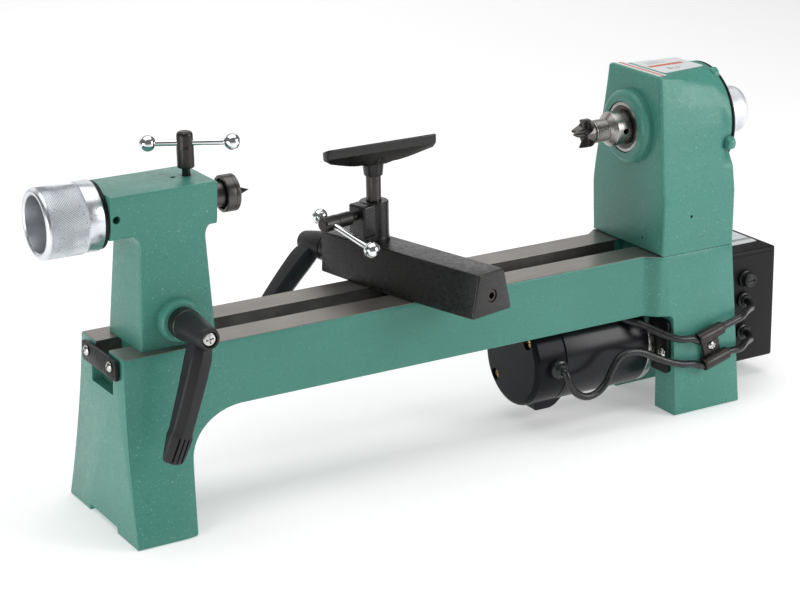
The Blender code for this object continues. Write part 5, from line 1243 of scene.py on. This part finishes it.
def make_banjo_clamp(near, far):
    start = far + GAP
    hub = start + 0.0090
    at = placed(0, 0, CAM_Z, base=BANJO)
    shaft = [(near + 0.0006, 0.0), (near + 0.0006, 0.0050), (start, 0.0050), (start, 0.0118),
             (hub - 0.0008, 0.0118), (hub, 0.0112), (hub, 0.0055), (hub + 0.0080, 0.0055),
             (hub + 0.0080, 0.0)]
    piece = turned("cam_shaft", shaft, at @ TO_FAR, 72, 0.0005)
    drill(piece, 0.0028, near - 0.004, near + 0.0060, at @ TO_FAR, 6)
    done(piece, BLACK_STEEL, "banjo_lever", ["banjo_cam_rod"], angle=35)
    lever_at = placed(0, start, CAM_Z, base=BANJO)
    turn = Matrix.Rotation(math.pi / 2 + math.radians(47.5), 4, "Y") @ Matrix.Rotation(-math.pi / 2, 4, "X")
    end = 0.0862 - start
    lever("banjo_lever_arm", lever_at @ turn, 0.0094, end, "banjo_grip", "banjo_lock_handle")
    lever_screw("banjo_lever_screw", lever_at @ turn, end - 0.0002, 0.0175, "banjo_lever",
                "banjo_handle_screw")


def make_tool_rest():
    edge, top, low = -0.0160, 0.2580, 0.2370

    def section(x, keel, inset=0.0):
        depth = blend(0.0070, 0.0270, keel)
        root = edge + blend(0.0030, 0.0090, keel)
        back = top - 0.38 * depth
        lip = back - blend(0.0048, 0.0040, keel) + inset
        under = blend(top - 0.0098, low, keel) + inset
        shape = [(edge + inset, top - 0.0080 + inset), (edge + inset, top - inset),
                 (edge + depth - inset, back - inset * 0.6), (edge + depth - 0.0006 - inset, lip),
                 (root + blend(0.0025, 0.0120, keel), under), (root, under)]
        return [(x, y, z) for y, z in rounded(shape, 0.0011, True, 4, True)]

    half = 0.0495
    rings = []
    for k in range(6):
        a = math.pi / 2 * k / 5
        rings.append(section(-half + 0.0022 * (1 - math.sin(a)), 0.10, 0.0018 * (1 - math.cos(a))))
    rings.sort(key=lambda ring: ring[0][0])
    for k in range(1, 10):
        rings.append(section(blend(-half + 0.0022, -0.0140, k / 9),
                             blend(0.10, 0.86, ramp(k / 9, -0.4, 1.0))))
    rings += [section(x, keel) for x, keel in ((-0.0110, 0.94), (-0.0080, 1.0), (0.0, 1.0), (0.0080, 1.0),
                                               (0.0110, 0.94))]
    for k in range(10):
        rings.append(section(blend(0.0140, half - 0.0010, k / 9),
                             blend(0.86, 0.07, 1 - ramp(1 - k / 9, -0.4, 1.0))))
    rings.append(section(half, 0.05, 0.0008))
    rest = skin("rest_blade_casting", rings, REST)
    neck = turned("neck", [(0.2275, 0.0), (0.2275, 0.0076), (0.2320, 0.0080), (0.2375, 0.0086),
                           (0.2410, 0.0100), (0.2440, 0.0100), (0.2440, 0.0)], REST, 64, 0.0008)
    combine(rest, neck, "UNION")
    drill(rest, 0.0063, 0.2100, 0.2380, REST, 48)
    done(rest, BLACK_CAST, "rest_blade", ["tool_rest"], angle=32)
    post = turned("rest_post_rod", [(0.1790, 0.0), (0.1790, 0.0054), (0.1800, 0.0060), (0.2377, 0.0060),
                                    (0.2377, 0.0)], REST, 72, 0.0003)
    done(post, POST_STEEL, "rest_post", ["tool_rest_post"])


def make_rest_lock():
    at = placed(0, 0, REST_LOCK_Z, TO_X, BANJO)
    head = [(-0.0560, 0.0), (-0.0560, 0.0048), (-0.0547, 0.0059), (-0.0420, 0.0060), (-0.0408, 0.0057),
            (-0.0275, 0.0057), (-0.0262, 0.0050), (-0.0255, 0.0036), (-0.0235, 0.0033), (-0.0212, 0.0033),
            (-0.0063, 0.0033), (-0.0063, 0.0)]
    screw = turned("rest_lock_head", head, at, 72, 0.0006, 4)
    direction = Vector(JOINTS["rest_bar_slide"]["axis"])
    across = direction.to_track_quat("Z", "Y").to_matrix().to_4x4()
    centre = (placed(REST_BAR_X, 0, REST_LOCK_Z, base=BANJO)).to_translation()
    bar_at = Matrix.Translation(centre) @ across
    drill(screw, 0.0026, -0.01, 0.01, bar_at, 32)
    done(screw, BLACK_STEEL, "rest_lock", ["rest_lock_screw"], angle=35)
    tommy_bar("rest_lock_handle", bar_at, 0.0130, 0.0482, "rest_bar", "rest_lock_bar")


# ------------------------------------------------------------------ carried-over nodes
def dress(materials):
    """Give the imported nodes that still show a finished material."""
    for node, material in materials.items():
        mesh = frame["nodes"][node].data
        mesh.materials.clear()
        mesh.materials.append(material)


# ------------------------------------------------------------------ studio
def area_light(name, at, look_at, size, power, colour=(1, 1, 1)):
    data = bpy.data.lights.new(name, "AREA")
    data.shape = "RECTANGLE"
    data.size, data.size_y = size
    data.energy = power
    data.color = colour
    obj = bpy.data.objects.new(name, data)
    bpy.context.scene.collection.objects.link(obj)
    obj.location = at
    obj.rotation_euler = (Vector(look_at) - Vector(at)).to_track_quat("-Z", "Y").to_euler()


def make_studio():
    floor_mat = bpy.data.materials.new("studio_floor")
    floor_mat.use_nodes = True
    shader = floor_mat.node_tree.nodes["Principled BSDF"]
    shader.inputs["Base Color"].default_value = (0.90, 0.90, 0.90, 1)
    shader.inputs["Roughness"].default_value = 0.9
    shader.inputs["Specular IOR Level"].default_value = 0.1
    shader.inputs["Emission Color"].default_value = (1.0, 1.0, 1.0, 1)
    shader.inputs["Emission Strength"].default_value = 0.30
    bm = bmesh.new()
    bmesh.ops.create_grid(bm, x_segments=1, y_segments=1, size=12.0)
    floor = new_object("studio_floor", bm, Matrix.Translation((0, 0, -0.0002)))
    floor.data.materials.append(floor_mat)
    world = bpy.data.worlds.new("studio")
    world.use_nodes = True
    world.node_tree.nodes["Background"].inputs["Color"].default_value = (1.0, 1.0, 1.0, 1)
    world.node_tree.nodes["Background"].inputs["Strength"].default_value = 0.16
    bpy.context.scene.world = world
    area_light("tail_side", (-1.00, -0.20, 0.18), (-0.30, 0.0, 0.12), (0.5, 0.4), 2.2)
    area_light("front_right", (0.80, -0.85, 0.55), (0.24, 0.0, 0.15), (0.6, 0.6), 6.5)
    area_light("overhead", (0.0, 0.10, 2.10), (0.0, 0.0, 0.0), (3.0, 2.0), 34.0)
    area_light("rear", (0.10, 2.00, 0.95), (0.0, 0.0, 0.15), (3.2, 1.5), 13.0)
    scene = bpy.context.scene
    scene.view_settings.view_transform = "Standard"
    scene.view_settings.look = "None"
    scene.view_settings.exposure = 0.0
    scene.view_settings.gamma = 1.0


def make_camera():
    data = bpy.data.cameras.new("camera")
    data.sensor_width = 36.0
    data.lens = 101.66
    data.clip_end = 50.0
    camera = bpy.data.objects.new("camera", data)
    bpy.context.scene.collection.objects.link(camera)
    yaw, pitch, roll = math.radians(-29.946), math.radians(-18.448), math.radians(-0.954)
    turn = (Matrix.Rotation(yaw, 4, "Z") @ Matrix.Rotation(math.pi / 2 + pitch, 4, "X")
            @ Matrix.Rotation(roll, 4, "Z"))
    camera.matrix_world = placed(-0.59875, -1.48442, 0.70119, turn)
    bpy.context.scene.camera = camera


# ------------------------------------------------------------------ build
make_camera()
make_leads()
make_bed()
make_stop_plate()
make_headstock()
make_bearing()
make_spindle()
make_spur()
make_outboard()
make_motor()
make_clip()
make_control_box()
make_tailstock()
make_tail_wheel()
make_quill_lock()
make_tail_clamp()
make_banjo()
make_tool_rest()
make_rest_lock()
dress({"rear_bearing": STEEL, "spindle_pulley": ALUMINIUM, "motor_pulley": ALUMINIUM, "drive_belt": JACKET,
       "motor_shaft": SCREW_STEEL, "quill_screw": STEEL, "sensor_gland": JACKET,
       "tailstock_clamp_bolt": BLACK_STEEL, "tailstock_clamp_plate": BLACK_STEEL,
       "banjo_clamp_bolt": BLACK_STEEL, "banjo_clamp_plate": BLACK_STEEL})
make_studio()
